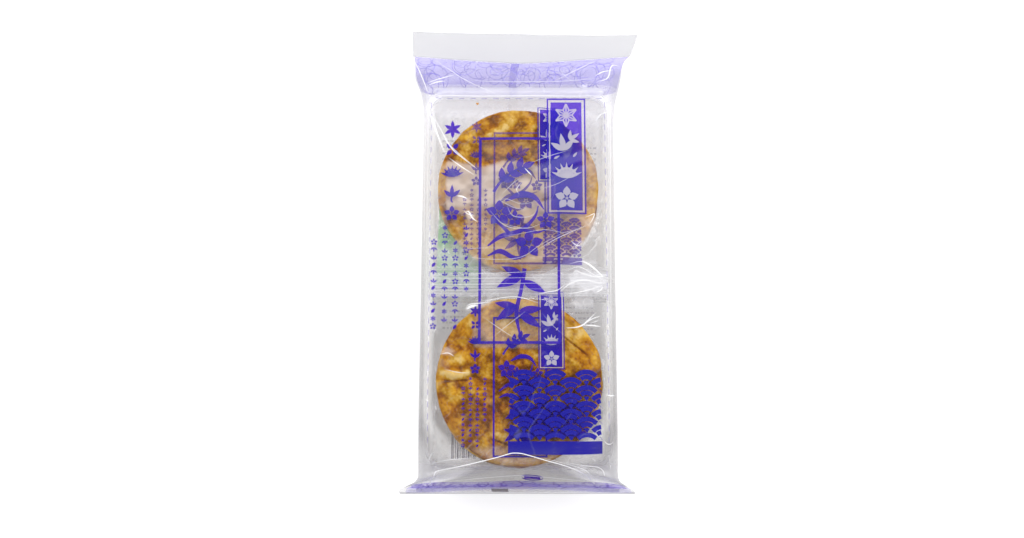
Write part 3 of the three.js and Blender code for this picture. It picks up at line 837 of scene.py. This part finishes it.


# Many of these are painted glints of the lights on the film's wrinkles, as well as whitened folds.
CREASES_AND_GLINTS = [   # each a path, its width and how white it is
    ([(-46.9, 73.5), (-44.4, 67.8), (-41.9, 60), (-37.4, 48.6)], 1.5, 0.8),
    ([(-45.9, 72.8), (-41, 64.2), (-34.7, 52.9), (-27.9, 46.5), (-21, 40.9)], 0.9, 0.75),
    ([(-42.3, 62.1), (-32.7, 51.5), (-21.7, 41.6)], 0.6, 0.7),
    ([(-36, 47.5), (-29, 42.2), (-22, 37.4)], 1.0, 0.7),
    ([(-31.7, 26.9), (-28.5, 26.4), (-25.6, 24.8)], 1.3, 0.9),
    ([(-26.9, 17.9), (-25.4, 18.6), (-23.4, 15.2), (-20.8, 13.1)], 1.2, 0.95),
    ([(-27.8, 19.2), (-25.8, 17.2), (-22.6, 16.6)], 0.7, 0.8),
    ([(3.4, 41.6), (5.6, 39.2), (7.4, 37.4)], 0.9, 0.9),
    ([(2.2, 34.2), (-0.7, 30.4), (0.6, 27.6)], 0.7, 0.6),
    ([(-35.8, -2.4), (-25.3, -5.1), (-11, -6.4), (2, -5.1), (11.2, 0.9), (21, 6.2), (29.5, 9.6)], 0.45, 0.4),
    ([(-34.1, -2), (-20.8, -0.6), (-7.4, -0.6)], 0.4, 0.35),
    ([(8, -2.7), (19.4, 4.1), (32.8, 10.3), (36.8, 11.6)], 0.6, 0.5),
    ([(-15, 19.7), (-8.4, 12.3), (-1.9, 9.6), (6, 10)], 0.5, 0.5),
    ([(-5.8, 22.4), (-3.8, 17.4), (-0.6, 15.6), (6.7, 16), (10.6, 20.4)], 0.5, 0.5),
    ([(-11.1, 23.8), (-5.8, 25.1), (2.1, 22.4), (11.3, 24.4)], 0.4, 0.45),
    ([(-8.5, 27.1), (-5, 31), (-1.9, 33.9), (2.1, 36.7)], 0.5, 0.5),
    ([(-11, 4.9), (2, 6.9), (13.2, 8.9), (24.3, 7.6), (34.2, 11.6)], 0.4, 0.4),
    ([(34.2, 15.6), (37, 16.6), (39.5, 17.7), (38, 14), (36.1, 11.6)], 0.7, 0.8),
    ([(26.9, 3.6), (29.5, 1.2), (33, 0.4)], 0.8, 0.7), ([(28, -1.8), (31.5, 2.6), (34, 3.4)], 0.6, 0.6),
    ([(-45.3, -110.9), (-43.6, -106.6), (-41, -102.3)], 0.5, 0.5),
    ([(-42.9, -110.1), (-35, -107.8), (-27.9, -107), (-20, -106.3)], 0.6, 0.6),
    ([(22, -108.5), (32.3, -110.5), (39.4, -111.8), (42.5, -114.4), (43.6, -117.9)], 0.55, 0.7),
    ([(36.3, -107), (37.6, -107.9), (38.6, -109.3)], 0.5, 0.5),
    ([(26, -8.8), (32.7, -7.5), (39.3, -11.5), (45.2, -16.3)], 0.7, 0.6),
    ([(24, -12.5), (31, -10.2), (38, -13.6), (44.8, -17.4)], 0.6, 0.6),
    ([(40.2, 66.4), (43, 70.6), (47.2, 72.1)], 0.8, 0.8),
    ([(-27, -32.2), (-24.5, -29.6), (-19.3, -29), (-13.5, -28.3)], 0.7, 0.8),
    ([(-20, -28.3), (-1.9, -25.7), (11, -29)], 0.8, 0.55),
    ([(24.1, -41.7), (29, -41.4), (32.8, -40.1), (36.1, -37.1), (39.3, -33.9)], 1.2, 0.8),
    ([(32.8, -40.1), (37.4, -37.1), (41.9, -35.5)], 0.9, 0.7),
    ([(32.8, -40.3), (37.3, -40.4), (42.1, -41)], 1.3, 0.75),
    ([(36.1, -39.4), (39.3, -38.4), (41.2, -37.5)], 0.7, 0.6),
    ([(27.9, -14.9), (29.3, -12.2), (33.1, -13.5), (39.6, -15.2), (46.1, -14.9)], 1.1, 0.6),
    ([(21.4, -23.1), (25.3, -19.5), (29.2, -17.5), (34.4, -16.8), (42.1, -18.5), (45.4, -17.8)], 1.2, 0.65),
    ([(25.3, -24.1), (33, -22.8), (38.9, -21.1), (43.4, -19.5)], 0.9, 0.6),
    ([(9.7, -24.4), (14.9, -23.1), (20.1, -22.1), (24.7, -18.5)], 0.8, 0.6),
    ([(32.6, -6.9), (36.4, -8.9), (39.7, -11.6), (43.5, -15.5)], 1.4, 0.75),
    ([(39.5, -23.4), (42.1, -22.1), (43.4, -20.1)], 1.2, 0.8),
    ([(-26.4, -32.2), (-23.8, -30.6), (-20.3, -30)], 2.2, 0.85),
    ([(-44, -13.6), (-30, -13.2), (-14, -13.4), (6, -12.6), (26, -12.0)], 0.4, 0.5),
    ([(-42, -16.4), (-22, -16.0), (2, -15.6), (24, -15.0)], 0.35, 0.45),
    ([(-38, -19.4), (-16, -18.8), (10, -18.4), (28, -18.2)], 0.4, 0.45),
    ([(-44, -22.6), (-26, -22.2), (-4, -21.6), (20, -21.4)], 0.35, 0.4),
    ([(-39, -54.9), (-35, -54.4), (-31.9, -56.2)], 0.9, 0.6),
    ([(-37, -62.6), (-30, -64.2), (-24.2, -64.5)], 0.8, 0.45),
    ([(42.6, -97.7), (44, -99.9), (46, -100.4), (47.7, -99.2)], 0.5, 0.8),
    ([(43.5, -75.2), (46, -75.8), (48.5, -75.4)], 1.0, 0.8),
    ([(46.6, 80.3), (48.4, 76.4), (47.9, 24.7), (46.9, -42.8)], 0.7, 0.55),
    ([(-47.2, 79), (-48.2, 70), (-48.3, 30), (-47.6, -40)], 0.6, 0.4),
    ([(-46.6, 71), (-47, 76.5), (-44.6, 80.4), (-40, 81), (-20, 80.8), (8, 80.9), (30, 80.8), (43, 80.9),
      (46.7, 78)], 0.8, 0.8),
    ([(-56.8, 108.8), (-52.1, 97.4), (-46.8, 82.6)], 0.9, 0.75),
    ([(-48.3, 90.2), (-41, 92.6), (-33.7, 95)], 1.2, 0.7),
    ([(-47.5, 88.6), (-42, 90.2), (-38, 90.4)], 1.6, 0.7),
    ([(42.4, 90.2), (47.9, 93.7), (50.6, 102.3), (55, 102.7)], 1.1, 0.8),
    ([(41, 94.4), (45.5, 97.8), (51, 99.5)], 1.2, 0.75),
    ([(-47.6, 109.4), (-36, 98.6), (-25.5, 89.6), (-9.4, 80.8)], 0.6, 0.6),
    ([(18.6, 89.6), (28, 96.6), (38.8, 103.9), (44.3, 106.5)], 0.6, 0.55),
    ([(-9.5, 89.6), (22.3, 90.2), (43.7, 92.6)], 0.5, 0.6),
    ([(-28, 91.2), (-16, 90.2), (2, 89.8), (12, 90.4)], 0.5, 0.5),
    ([(22, 100.5), (25.5, 93.8), (29.8, 89.5)], 0.5, 0.45),
    ([(-8, 12), (4, 9.6), (13, 12.4)], 0.5, 0.4), ([(-12, 26), (-2, 20.5), (6, 19.4)], 0.5, 0.4),
    ([(10, 30), (20, 33), (30, 38.6)], 0.5, 0.4), ([(6, 44), (15, 47.6), (27, 51.5)], 0.6, 0.4),
    ([(-18, -36), (-8, -43), (-1, -47.5)], 0.5, 0.4), ([(4, -33), (-6, -41), (-12, -46)], 0.5, 0.4),
    ([(12, -34), (17, -40), (22.5, -45)], 0.4, 0.35),
]
# The foot ridge: a whitened fold across the foot end, with a painted highlight along it.
FOOT_RIDGE = [(-44.3, -119.0), (-43.9, -117.1), (-41.9, -115.0), (-38.8, -113.3), (-23.1, -109.4),
              (-10.5, -106.3), (-5.0, -104.7), (-2.6, -104.2), (0.8, -104.3), (4.5, -105.1), (14, -107.8),
              (22.7, -110.2), (32.1, -113.7), (36.8, -117.1), (38.7, -119.3)]
SECOND_RIDGE = [(12, -106.6), (22.7, -109.2), (33, -112.6), (38.6, -116.6)]

taper = np.sin(np.pi * np.linspace(0.06, 0.94, 40)) ** 0.7
ribbons = [ribbon(bent(path), 0.62 * width * taper, 1.0) for path, width, _ in CREASES_AND_GLINTS]
lay("film_creases", ribbons, on_front(0.12), crease_and_glint_look, "film", [whiteness for *_, whiteness in CREASES_AND_GLINTS])
lay("foot_creases", [ribbon(bent(FOOT_RIDGE, 90), 0.42, 1.0), ribbon(bent(SECOND_RIDGE, 40), 0.22, 1.0)],
    on_front(0.12), crease_and_glint_look, "film", [0.95, 0.6])
fold = np.stack([np.linspace(-38, 40, 60), 0.5 + 0.12 * np.sin(np.linspace(0, 7, 60))], -1)
lay("foot_fold", [ribbon(fold, 0.13)], on_band(10.75, 11.15, lift=0.15), crease_and_glint_look, "film", [0.95])


# Outer print: dark purple ink on the inside of the outer film, with white motifs over the banner. The design
# is a tall frame with plants in brush strokes, a banner beside it, columns of motifs and a field of waves.

PRINT_DEPTH = 0.14              # under the film's outside
WHITE_DEPTH = 0.06
BANNER = (15.1, 35.3, 17.3, 79.6)       # its sides, then its foot and head
WAVE_FIELD = (-5, 42, -105, -60)
SMALL_COLUMNS = [(-43.0, 4.0, -41.0), (-37.4, 11.5, -36.0), (-32.0, 3.6, -41.0), (-26.4, 11.5, -23.4)]
SMALL_PITCH = 3.95


def ink_look(name, share, body, tint):
    """Ink that shows its own body colour for a share of the light and passes the rest through its tint."""
    made, start = new_material(name)
    solid = start.make("BsdfPrincipled", {"Base Color": body, "Roughness": 0.35})
    clear = start.make("BsdfTransparent", {"Color": tint})
    show(start, start.make("MixShader", {0: share, 1: clear, 2: solid}))
    return made


NO_TINT = (1, 1, 1, 1)
deep_ink = ink_look("ink_deep", 0.60, (0.03, 0.008, 0.64, 1), (0.26, 0.09, 0.58, 1))
banner_ink = ink_look("ink_banner", 0.50, (0.02, 0.01, 0.66, 1), (0.36, 0.18, 0.90, 1))
picture_ink = ink_look("ink_picture", 0.88, (0.003, 0.002, 0.42, 1), (0.14, 0.08, 0.46, 1))
white_ink = ink_look("ink_white", 0.62, (0.80, 0.76, 0.86, 1), NO_TINT)
dash_ink = ink_look("ink_dash", 0.50, (0.34, 0.31, 0.66, 1), NO_TINT)


def stroke(points, widths):
    """A brush stroke: a ribbon along a bent path whose width follows the widths given."""
    path = bent(points, 24)
    return ribbon(path, np.interp(np.linspace(0, 1, 24), np.linspace(0, 1, len(widths)), widths))


def leaf(x, y, length, width, turn):
    """A pointed leaf from its base at x, y: a straight stroke whose width is a half sine."""
    t = np.linspace(0, 1, 12)
    way = np.array([np.cos(turn), np.sin(turn)])
    return ribbon(np.array([x, y]) + length * t[:, None] * way, width * np.sin(np.pi * t**0.8) + 0.02)


def ring(x, y, radius, width, first=0.0, last=2 * np.pi):
    """A ring round x, y, or the arc of it from one angle to another."""
    t = np.linspace(first, last, max(8, int(abs(last - first) * radius) + 4))
    return ribbon(np.stack([x + radius * np.cos(t), y + radius * np.sin(t)], -1), width, 1.0)


def block(x0, x1, y0, y1):
    """A filled upright rectangle: a straight ribbon as wide as it."""
    return ribbon([((x0 + x1) / 2, y0), ((x0 + x1) / 2, y1)], x1 - x0, 2.2)


def outline(x0, x1, y0, y1, width):
    """A frame as four bars that meet at the corners."""
    h = width / 2
    return [block(x0 - h, x1 + h, y0 - h, y0 + h), block(x0 - h, x1 + h, y1 - h, y1 + h),
            block(x0 - h, x0 + h, y0 + h, y1 - h), block(x1 - h, x1 + h, y0 + h, y1 - h)]


def petals(x, y, reach, length, width, turns):
    """Leaves outward from a small circle round x, y."""
    return [leaf(x + reach * np.cos(turn), y + reach * np.sin(turn), length, width, turn) for turn in turns]


def blossom(x, y, size):
    """A five-petalled flower with a ring for its middle."""
    turns = np.pi / 2 + 2 * np.pi * np.arange(5) / 5
    return petals(x, y, 0.16 * size, 0.8 * size, 0.62 * size, turns) + [ring(x, y, 0.1 * size, 0.08 * size)]


def rice_ear(x, y, size, turn, bend):
    """A bowed stalk of nine equal steps, whose direction turns by bend in all, with grains in pairs along
    its upper half."""
    t = np.linspace(0, 1, 9)
    head = turn + bend * t
    way = np.cumsum(np.stack([np.cos(head), np.sin(head)], -1), 0) * size / 9
    path = np.array([x, y]) + way
    parts = [ribbon(bent(path, 30), np.linspace(0.07, 0.035, 30) * size)]
    for i in range(3, 9, 2):
        for side in (-1, 1):
            parts.append(leaf(*path[i], 0.3 * size, 0.16 * size, head[i] + side * 0.75))
    return parts + [leaf(*path[-1], 0.3 * size, 0.15 * size, head[-1])]


def sprig(x, y, size, turn):
    """Three pointed leaves from one point."""
    return [leaf(x, y, size * share, 0.32 * size, turn + aside) for aside, share in
            ((-0.85, 0.85), (0.0, 1.0), (0.85, 0.85))]


def fan(x, y, size):
    """A folding fan: seven pointed ribs from one point, and an arc across their middles."""
    ribs = [leaf(x, y, size, 0.2 * size, angle) for angle in np.linspace(0.4, np.pi - 0.4, 7)]
    return ribs + [ring(x, y, 0.62 * size, 0.14 * size, 0.4, np.pi - 0.4)]


def star(x, y, size, width):
    """A hemp-leaf star: six spokes, and six kinked sides that join their ends."""
    parts = []
    for k in range(6):
        t = np.pi / 6 + np.pi / 3 * k
        end = (x + size * np.cos(t), y + size * np.sin(t))
        far = (x + size * np.cos(t + np.pi / 3), y + size * np.sin(t + np.pi / 3))
        mid = (x + 0.5 * size * np.cos(t + np.pi / 6), y + 0.5 * size * np.sin(t + np.pi / 6))
        parts += [ribbon([(x, y), end], width), ribbon([end, mid], width), ribbon([mid, far], width),
                  ribbon([(x, y), mid], width)]
    return parts


def banner_body():
    """The upright banner: a filled block inside a border."""
    x0, x1, y0, y1 = BANNER
    return outline(x0 + 0.4, x1 - 0.4, y0 + 0.4, y1 - 0.4, 0.8) + [block(x0 + 2, x1 - 2, y0 + 2, y1 - 2)]


def banner_motifs():
    """The white motifs on the banner: a thin border, a star, two sprigs, a fan between two leaves, and a
    flower."""
    x0, x1, y0, y1 = BANNER
    x = (x0 + x1) / 2
    return (outline(x0 + 1.4, x1 - 1.4, y0 + 1.4, y1 - 1.4, 0.55) + star(x, 70.6, 6.2, 0.75)
            + sprig(x - 1.2, 51.2, 9.6, 1.75) + sprig(x + 1.6, 57.2, 6.4, 0.6)
            + fan(x, 36.2, 8.6) + [leaf(x - 6.6, 46.6, 3.6, 1.3, 0.5), leaf(x + 3.4, 47.6, 3.6, 1.3, 0.9)]
            + blossom(x, 25.6, 6.6))


def frame_design():
    """The tall frame, and brush strokes in it: an ear of rice, a plum branch and bamboo leaves."""
    parts = outline(-19.5, 20.9, -49.2, 57.6, 1.4) + rice_ear(-13.5, 26.5, 23, 1.15, -0.75)
    parts += [stroke([(-6.5, 24), (1.5, 27.5), (8.5, 26), (13.5, 19.5)], [0.8, 3.6, 2.8, 0.4]),
              stroke([(-15.5, 0.5), (-8.5, 5.5), (1.5, 8.5), (8.5, 15.5), (10.5, 21.5)],
                     [0.8, 2.6, 2.4, 1.5, 0.5]),
              stroke([(-4.5, 7.0), (-9.5, 12.0), (-14.0, 14.0)], [2.0, 1.4, 0.5]),
              stroke([(2.5, 9.0), (9.0, 7.5), (14.5, 8.8)], [2.0, 1.4, 0.4])]
    for x, y, size in [(-9.6, 17.6, 7.4), (5.6, 1.4, 7.8), (14.2, 13.8, 5.0), (-1.6, 15.0, 4.6)]:
        parts += blossom(x, y, size)
    parts += [stroke([(-15.5, -4.5), (-9, -2.2), (-2, -5.6), (4, -4.6)], [0.6, 2.6, 2.2, 0.6]),
              stroke([(3.4, -11), (1.6, -22), (-0.8, -34), (1.2, -46.5)], [2.2, 1.8, 2.2, 0.9])]
    for x, y, turn, size in [(2.6, -14, 3.6, 15), (2.6, -14.5, 2.75, 12), (2.4, -17, -0.5, 13.5),
                             (-0.2, -29.5, 3.8, 14), (-0.2, -31, 2.95, 12), (0.2, -33.5, -0.62, 14),
                             (0.4, -33, 0.12, 12.5)]:
        parts.append(leaf(x, y, size, 0.33 * size, turn))
    return parts


def small_mark(kind, x, y):
    """One of five small marks of about 3 mm: a flower, a sprig up, six leaves, a sprig down or one leaf."""
    if kind == 0:
        return blossom(x, y, 1.9)
    if kind == 2:
        return petals(x, y, 0, 1.6, 0.7, np.pi / 2 + np.arange(6) * np.pi / 3)
    if kind == 4:
        return [leaf(x - 0.9, y - 1.2, 3.1, 1.6, 0.95)]
    up = 1 if kind == 1 else -1
    return sprig(x, y - 1.3 * up, 2.7, up * np.pi / 2)


def side_columns():
    """The column of five bold motifs at the left, and the four columns of small marks under it, whose kinds
    follow one another by 3 down a column, 2 from column to column and 1 every fourth mark."""
    x = -34.0
    parts = petals(x, 62.8, 0, 4.8, 2.1, np.pi / 2 + np.arange(6) * np.pi / 3)
    parts += petals(x, 52.0, 0.5, 3.8, 2.4, np.pi / 4 + np.pi / 2 * np.arange(4))
    parts += fan(x, 37.0, 6.6) + sprig(x, 26.4, 6.6, np.pi / 2)
    parts += [stroke([(x, 26.8), (x - 0.4, 24.6), (x + 0.3, 23.4)], [1.2, 1.0, 0.6])] + blossom(x, 17.6, 4.4)
    for column, (column_x, top, bottom) in enumerate(SMALL_COLUMNS):
        for k in range(int((top - bottom) / SMALL_PITCH) + 1):
            parts += small_mark((3 * k + 2 * column + k // 4) % 5, column_x, top - 1.3 - SMALL_PITCH * k)
    return parts


def runs(keep, least):
    """The stretches of indices over which keep holds without a gap, of at least this many."""
    kept = np.flatnonzero(keep)
    return [part for part in np.split(kept, np.flatnonzero(np.diff(kept) > 1) + 1) if len(part) >= least]


def wave_block(x0, x1, y0, y1, radius):
    """A field of overlapping waves on a solid foot. Each wave is a fan of three rings, hidden where the two
    waves below it and the one two rows below it stand in front."""
    base = y0 + 0.16 * (y1 - y0)
    parts = [block(x0, x1, y0, base - 0.08 * radius)]
    t = np.linspace(0, np.pi, 44)
    for row in range(-2, int((y1 - base - radius) / (0.5 * radius)) + 1):
        cy = base + row * 0.5 * radius
        for cx in np.arange(x0 - radius * (row % 2), x1 + radius + 0.1, 2 * radius):
            for share, width in ((0.83, 0.30), (0.50, 0.29), (0.14, 0.28)):
                x, y = cx + share * radius * np.cos(t), cy + share * radius * np.sin(t)
                reach = 0.5 * width * radius
                hidden = (x < x0 + reach * 0.6) | (x > x1 - reach * 0.6) | (y < base + reach * 0.4)
                for dx, dy in ((-radius, -0.5 * radius), (radius, -0.5 * radius), (0, -radius)):
                    hidden |= np.hypot(x - cx - dx, y - cy - dy) < radius + reach * 0.5
                parts += [ribbon(np.stack([x[part], y[part]], -1), width * radius, 0.9)
                          for part in runs(~hidden, 3)]
    return parts


dashes = []
for y in 77.5 - 6 * np.arange(30):
    dashes += [block(-45.45, -44.95, y - 3, y), block(45.15, 45.65, y - 3, y)]
dashes += [block(x, x + 3, 79.3, 79.8) for x in -43 + 6 * np.arange(15)]
lay("outer_print", frame_design() + side_columns(), on_front(-PRINT_DEPTH), deep_ink, "print")
lay("outer_banner", banner_body(), on_front(-PRINT_DEPTH), banner_ink, "print")
lay("outer_print_waves", wave_block(*WAVE_FIELD, 7.83), on_front(-PRINT_DEPTH), picture_ink, "print")
lay("outer_print_white", banner_motifs(), on_front(-WHITE_DEPTH), white_ink, "print")
lay("outer_print_border", dashes, on_front(-PRINT_DEPTH), dash_ink, "print")


# Wrap print: the same design at two thirds of its size on the two wraps on top, in one ink and white. The
# head wrap's ink is thinner. Nothing is printed on the wraps under them.

SMALL_SCALE = 0.65
SMALL_X = 0.5
thin_ink = ink_look("ink_thin", 0.34, (0.06, 0.04, 0.60, 1), (0.66, 0.58, 0.88, 1))
WRAP_PRINTS = [   # how far along the design lies, its field of waves, how far down it reaches, and its ink
    (23.7, (12.6, 33.0, -8.6, 15.9), -12.0, thin_ink),
    (-73.8, (0.0, 33.5, -96.0, -77.0), -110.0, deep_ink),
]


def on_wrap(stack, lift):
    """A surface for lay: the upper film of the stack's top wrap, moved up by lift."""
    def place(x, y):
        half, middle = wrap_height(stack, x, y, LAYER_HEIGHTS[TOP_LAYER])
        return np.stack([x, y, middle + half + WRAP_EDGE + lift], -1)
    return place


def smaller(parts, dy):
    """The parts at the small scale, moved to the wrap."""
    return [part * SMALL_SCALE + np.array([SMALL_X, dy]) for part in parts]


for stack, (dy, wave_field, lowest, ink) in enumerate(WRAP_PRINTS):
    small = smaller(frame_design() + side_columns(), dy) + wave_block(*wave_field, 4.1)
    small = [part for part in small if part[..., 1].min() > lowest]
    lay(f"wrap_print_{STACKS[stack]}", small, on_wrap(stack, 0.10), ink, "print")
    lay(f"wrap_banner_{STACKS[stack]}", smaller(banner_body(), dy), on_wrap(stack, 0.10), deep_ink, "print")
    lay(f"wrap_banner_white_{STACKS[stack]}", smaller(banner_motifs(), dy), on_wrap(stack, 0.16),
        white_ink, "print")


# End bands: a pale band of the ink's tint printed round the tube at each welded end, with loose rings in it.
# The foot's band is broader towards its ends. The film's own seam shows in the head band as a darker bar.

pale_ink = ink_look("ink_pale", 0.25, (0.42, 0.39, 0.86, 1), (0.88, 0.86, 0.98, 1))
foot_ink = ink_look("ink_foot", 0.42, (0.40, 0.33, 1.0, 1), (0.88, 0.85, 1.0, 1))
ring_ink = ink_look("ink_ring", 0.50, (0.28, 0.22, 0.95, 1), NO_TINT)
foot_ring_ink = ink_look("ink_foot_ring", 0.15, (0.10, 0.07, 0.62, 1), (0.80, 0.74, 0.95, 1))
seam_ink = ink_look("ink_seam", 0.40, (0.32, 0.26, 1.0, 1), NO_TINT)


def field(x0, x1, columns, y0, y1, rows):
    """A filled rectangle for lay: rows of points at equal steps each way."""
    return np.stack(np.meshgrid(np.linspace(x0, x1, columns), np.linspace(y0, y1, rows)), -1)


def on_end(foot, back, lift):
    """A surface for lay: a band round the head or the foot, on the front or the back. x runs across it in
    half widths of 50, and y from its inner edge at 0 to its outer edge at 1, or at the foot the other
    way."""
    if not foot:
        return on_band(3.7 if back else 3.85, 1.02, back, lift)

    def place(x, y):
        low = 12.12 + 0.5 * smooth(12, 46, np.abs(x))
        high = 11.38 - 0.5 * smooth(10, 44, np.abs(x))
        return on_film(low * (1 - y) + high * y, x / 50, lift, back)
    return place


def hoops(foot, width, left, right):
    """Arcs of rings at random places in a band of this width, cut where they would leave it. At the foot
    they are more, broader and closer together towards its sides."""
    parts = []
    for _ in range(64 if foot else 34):
        x, y, radius = rng.uniform(-46, 46), rng.uniform(0.1, 0.9) * width, rng.uniform(2.5, 6.0)
        if foot:
            x = 46 * np.sin(x * np.pi / 92)
        hoop = ring(x, y, radius, 0.7 if foot else 0.3, rng.uniform(0, 3), rng.uniform(5, 9))
        keep = (hoop[..., 1].min(1) > 0.2) & (hoop[..., 1].max(1) < width - 0.2)
        keep &= (hoop[..., 0].min(1) > left + 0.6) & (hoop[..., 0].max(1) < right - 0.6)
        parts += [hoop[part] * np.array([1, 1 / width]) for part in runs(keep, 4)]
    return parts


rng = np.random.default_rng(5)      # draws the hoops here and the back film's small marks below
for end, foot, width, left, right, ink, rings_ink in [
        ("head_band", False, 20.0, -49.3, 49.3, pale_ink, ring_ink),
        ("foot_band", True, 14.0, -46.8, 48.7, foot_ink, foot_ring_ink)]:
    for name, back in [(end, False), (end + "_back", True)]:
        lay(name, [field(left, right, 90, 0, 1, 24)], on_end(foot, back, -0.15), ink, "print")
        lay(name + "_rings", hoops(foot, width, left, right), on_end(foot, back, -0.09), rings_ink, "print")
lay("head_band_seam", [field(-4.4, -0.8, 4, 0, 1, 12)], on_band(3.7, 1.02, True, -0.3), seam_ink, "print")


# Foot marks: a ringed oval printed on the end panel above the foot band, and a dark register mark on the
# weld, by which the film was cut to length.

mark_ink = ink_look("ink_mark", 0.85, (0.16, 0.15, 0.18, 1), NO_TINT)
t = np.linspace(0, 2 * np.pi, 40)
oval = ribbon(np.stack([7.2 + 4.8 * np.cos(t), 0.5 + 0.40 * np.sin(t)], -1), 0.16, 0.4)
lay("foot_oval", [oval, field(3.6, 10.8, 6, 0.26, 0.74, 3)], on_band(11.35, 10.75, lift=-0.15),
    deep_ink, "print")
lay("register_mark", [field(-10.6, -3.6, 6, 0.2, 0.75, 5)], on_band(13.0, 12.0, lift=0.08), mark_ink, "print")


# Back print: the back film's small print, which shows faintly through the pack as rows of short marks, and a
# row of plain stripes near the foot.

MARK_FIELDS = [   # the sides, the head and the foot of each field, and how far apart its rows are
    (24, 41, -26, -46, 2.9), (38.5, 42.5, -52, -92, 3.2), (-41, -28, 66, 24, 3.4), (37, 43, 62, 24, 3.2),
    (-40, -28, -28, -40, 3.0)]
faint_ink = ink_look("ink_faint", 0.26, (0.34, 0.32, 0.56, 1), NO_TINT)
stripe_ink = ink_look("ink_stripe", 0.75, (0.12, 0.11, 0.20, 1), NO_TINT)


def on_back(x, y):
    """A surface for lay: a level just above the back film."""
    return np.stack([x, y, np.full_like(x, 0.25)], -1)


marks = []
for left, right, top, bottom, pitch in MARK_FIELDS:
    for k in range(int((top - bottom) / pitch)):
        x = left
        while x < right - 0.8:
            length = rng.uniform(0.7, 2.0)
            marks.append(block(x, min(x + length, right), top - pitch * k - 1.1, top - pitch * k))
            x += length + rng.uniform(0.4, 1.0)
stripes = [block(-34.5 + 0.95 * k, -34.2 + 0.95 * k + 0.3 * (k % 3 == 0), -106, -88) for k in range(14)]
lay("back_print", marks, on_back, faint_ink, "print")
lay("back_stripes", stripes, on_back, stripe_ink, "print")


# Crumb: one orange fleck of crust, of the crackers' baked dough, that has broken off a rim. It lies loose at
# the head end, in front of the wraps.

CRUMB_MIDDLE = np.array([-21.2, 77.6, 27.2])
CRUMB_HALF_HEIGHT = 0.45

crumb_look, start = new_material("crumb_crust")
show(start, start.make("BsdfPrincipled", {"Base Color": colour(236, 170, 60), "Roughness": 0.5}))
v, u = np.meshgrid(np.linspace(0, np.pi, 8)[1:-1], np.linspace(0, 2 * np.pi, 12, endpoint=False),
                   indexing="ij")
lump = 0.75 * (1 + 0.25 * np.sin(3 * u) * np.sin(v))
ball = np.stack([lump * np.sin(v) * np.cos(u), 0.8 * lump * np.sin(v) * np.sin(u),
                 0.6 * lump * np.cos(v)], -1)
points, quads, fans = ring_shell(ball, [[0, 0, CRUMB_HALF_HEIGHT], [0, 0, -CRUMB_HALF_HEIGHT]])
piece("crumb", points + CRUMB_MIDDLE, quads, crumb_look, "cracker", fans)


# Stage: a white table, a soft white room, two soft boxes at the sides and one from the head end, and the
# camera above the pack, leaning a little towards its foot.

FLOOR_HALF_SIZE, FLOOR_Z = 12, -0.0004
CAMERA_EYE = np.array([-6.45, -124.85, 619.0]) * MM
CAMERA_AIM = np.array([-6.45, -10.35, 30.0]) * MM

floor_look, start = new_material("floor_white")
show(start, start.make("BsdfPrincipled", {"Base Color": (0.80, 0.80, 0.80, 1), "Roughness": 0.9,
                                          "Specular IOR Level": 0.1, "Emission Color": (1, 1, 1, 1),
                                          "Emission Strength": 0.57}))
mesh = bpy.data.meshes.new("floor")
corners = [(FLOOR_HALF_SIZE * x, FLOOR_HALF_SIZE * y, FLOOR_Z)
           for x, y in ((-1, -1), (1, -1), (1, 1), (-1, 1))]
mesh.from_pydata(corners, [], [(0, 1, 2, 3)])
mesh.materials.append(floor_look)
floor = bpy.data.objects.new("floor", mesh)
bpy.context.scene.collection.objects.link(floor)

world = bpy.data.worlds.new("room")
bpy.context.scene.world = world
world.use_nodes = True
world.node_tree.nodes["Background"].inputs["Color"].default_value = (1, 1, 1, 1)
world.node_tree.nodes["Background"].inputs["Strength"].default_value = 0.45


def turn_to(place, aim):
    """Turns about x and z that point a lamp or a camera, which look along their own -z, from place to
    aim."""
    way = np.subtract(aim, place)
    return np.arctan2(np.hypot(way[0], way[1]), -way[2]), 0, np.arctan2(way[1], way[0]) - np.pi / 2


def soft_box(name, place, size, power):
    """A rectangular lamp at place that faces the pack, with its width, height and watts."""
    light = bpy.data.lights.new(name, "AREA")
    light.shape = "RECTANGLE"
    light.size, light.size_y = size
    light.energy = power
    made = bpy.data.objects.new(name, light)
    made.location = place
    made.rotation_euler = turn_to(place, (0, 0, 0))
    bpy.context.scene.collection.objects.link(made)


soft_box("box_left", (-0.75, 0.10, 0.62), (0.5, 0.6), 3.2)
soft_box("box_right", (0.75, 0.05, 0.62), (0.5, 0.6), 3.2)
soft_box("box_head", (0.05, 0.80, 0.70), (0.7, 0.4), 3.4)

camera_data = bpy.data.cameras.new("camera")
camera_data.sensor_width, camera_data.lens = 36.0, 41.44
camera_data.clip_start, camera_data.clip_end = 0.01, 50
camera = bpy.data.objects.new("camera", camera_data)
camera.location = CAMERA_EYE
camera.rotation_euler = turn_to(CAMERA_EYE, CAMERA_AIM)
bpy.context.scene.collection.objects.link(camera)
scene = bpy.context.scene
scene.camera = camera
scene.view_settings.view_transform = "Standard"
scene.cycles.max_bounces = 24
scene.cycles.diffuse_bounces = 4
scene.cycles.glossy_bounces = 4
scene.cycles.transparent_max_bounces = 40
scene.cycles.caustics_reflective = False
scene.cycles.caustics_refractive = False
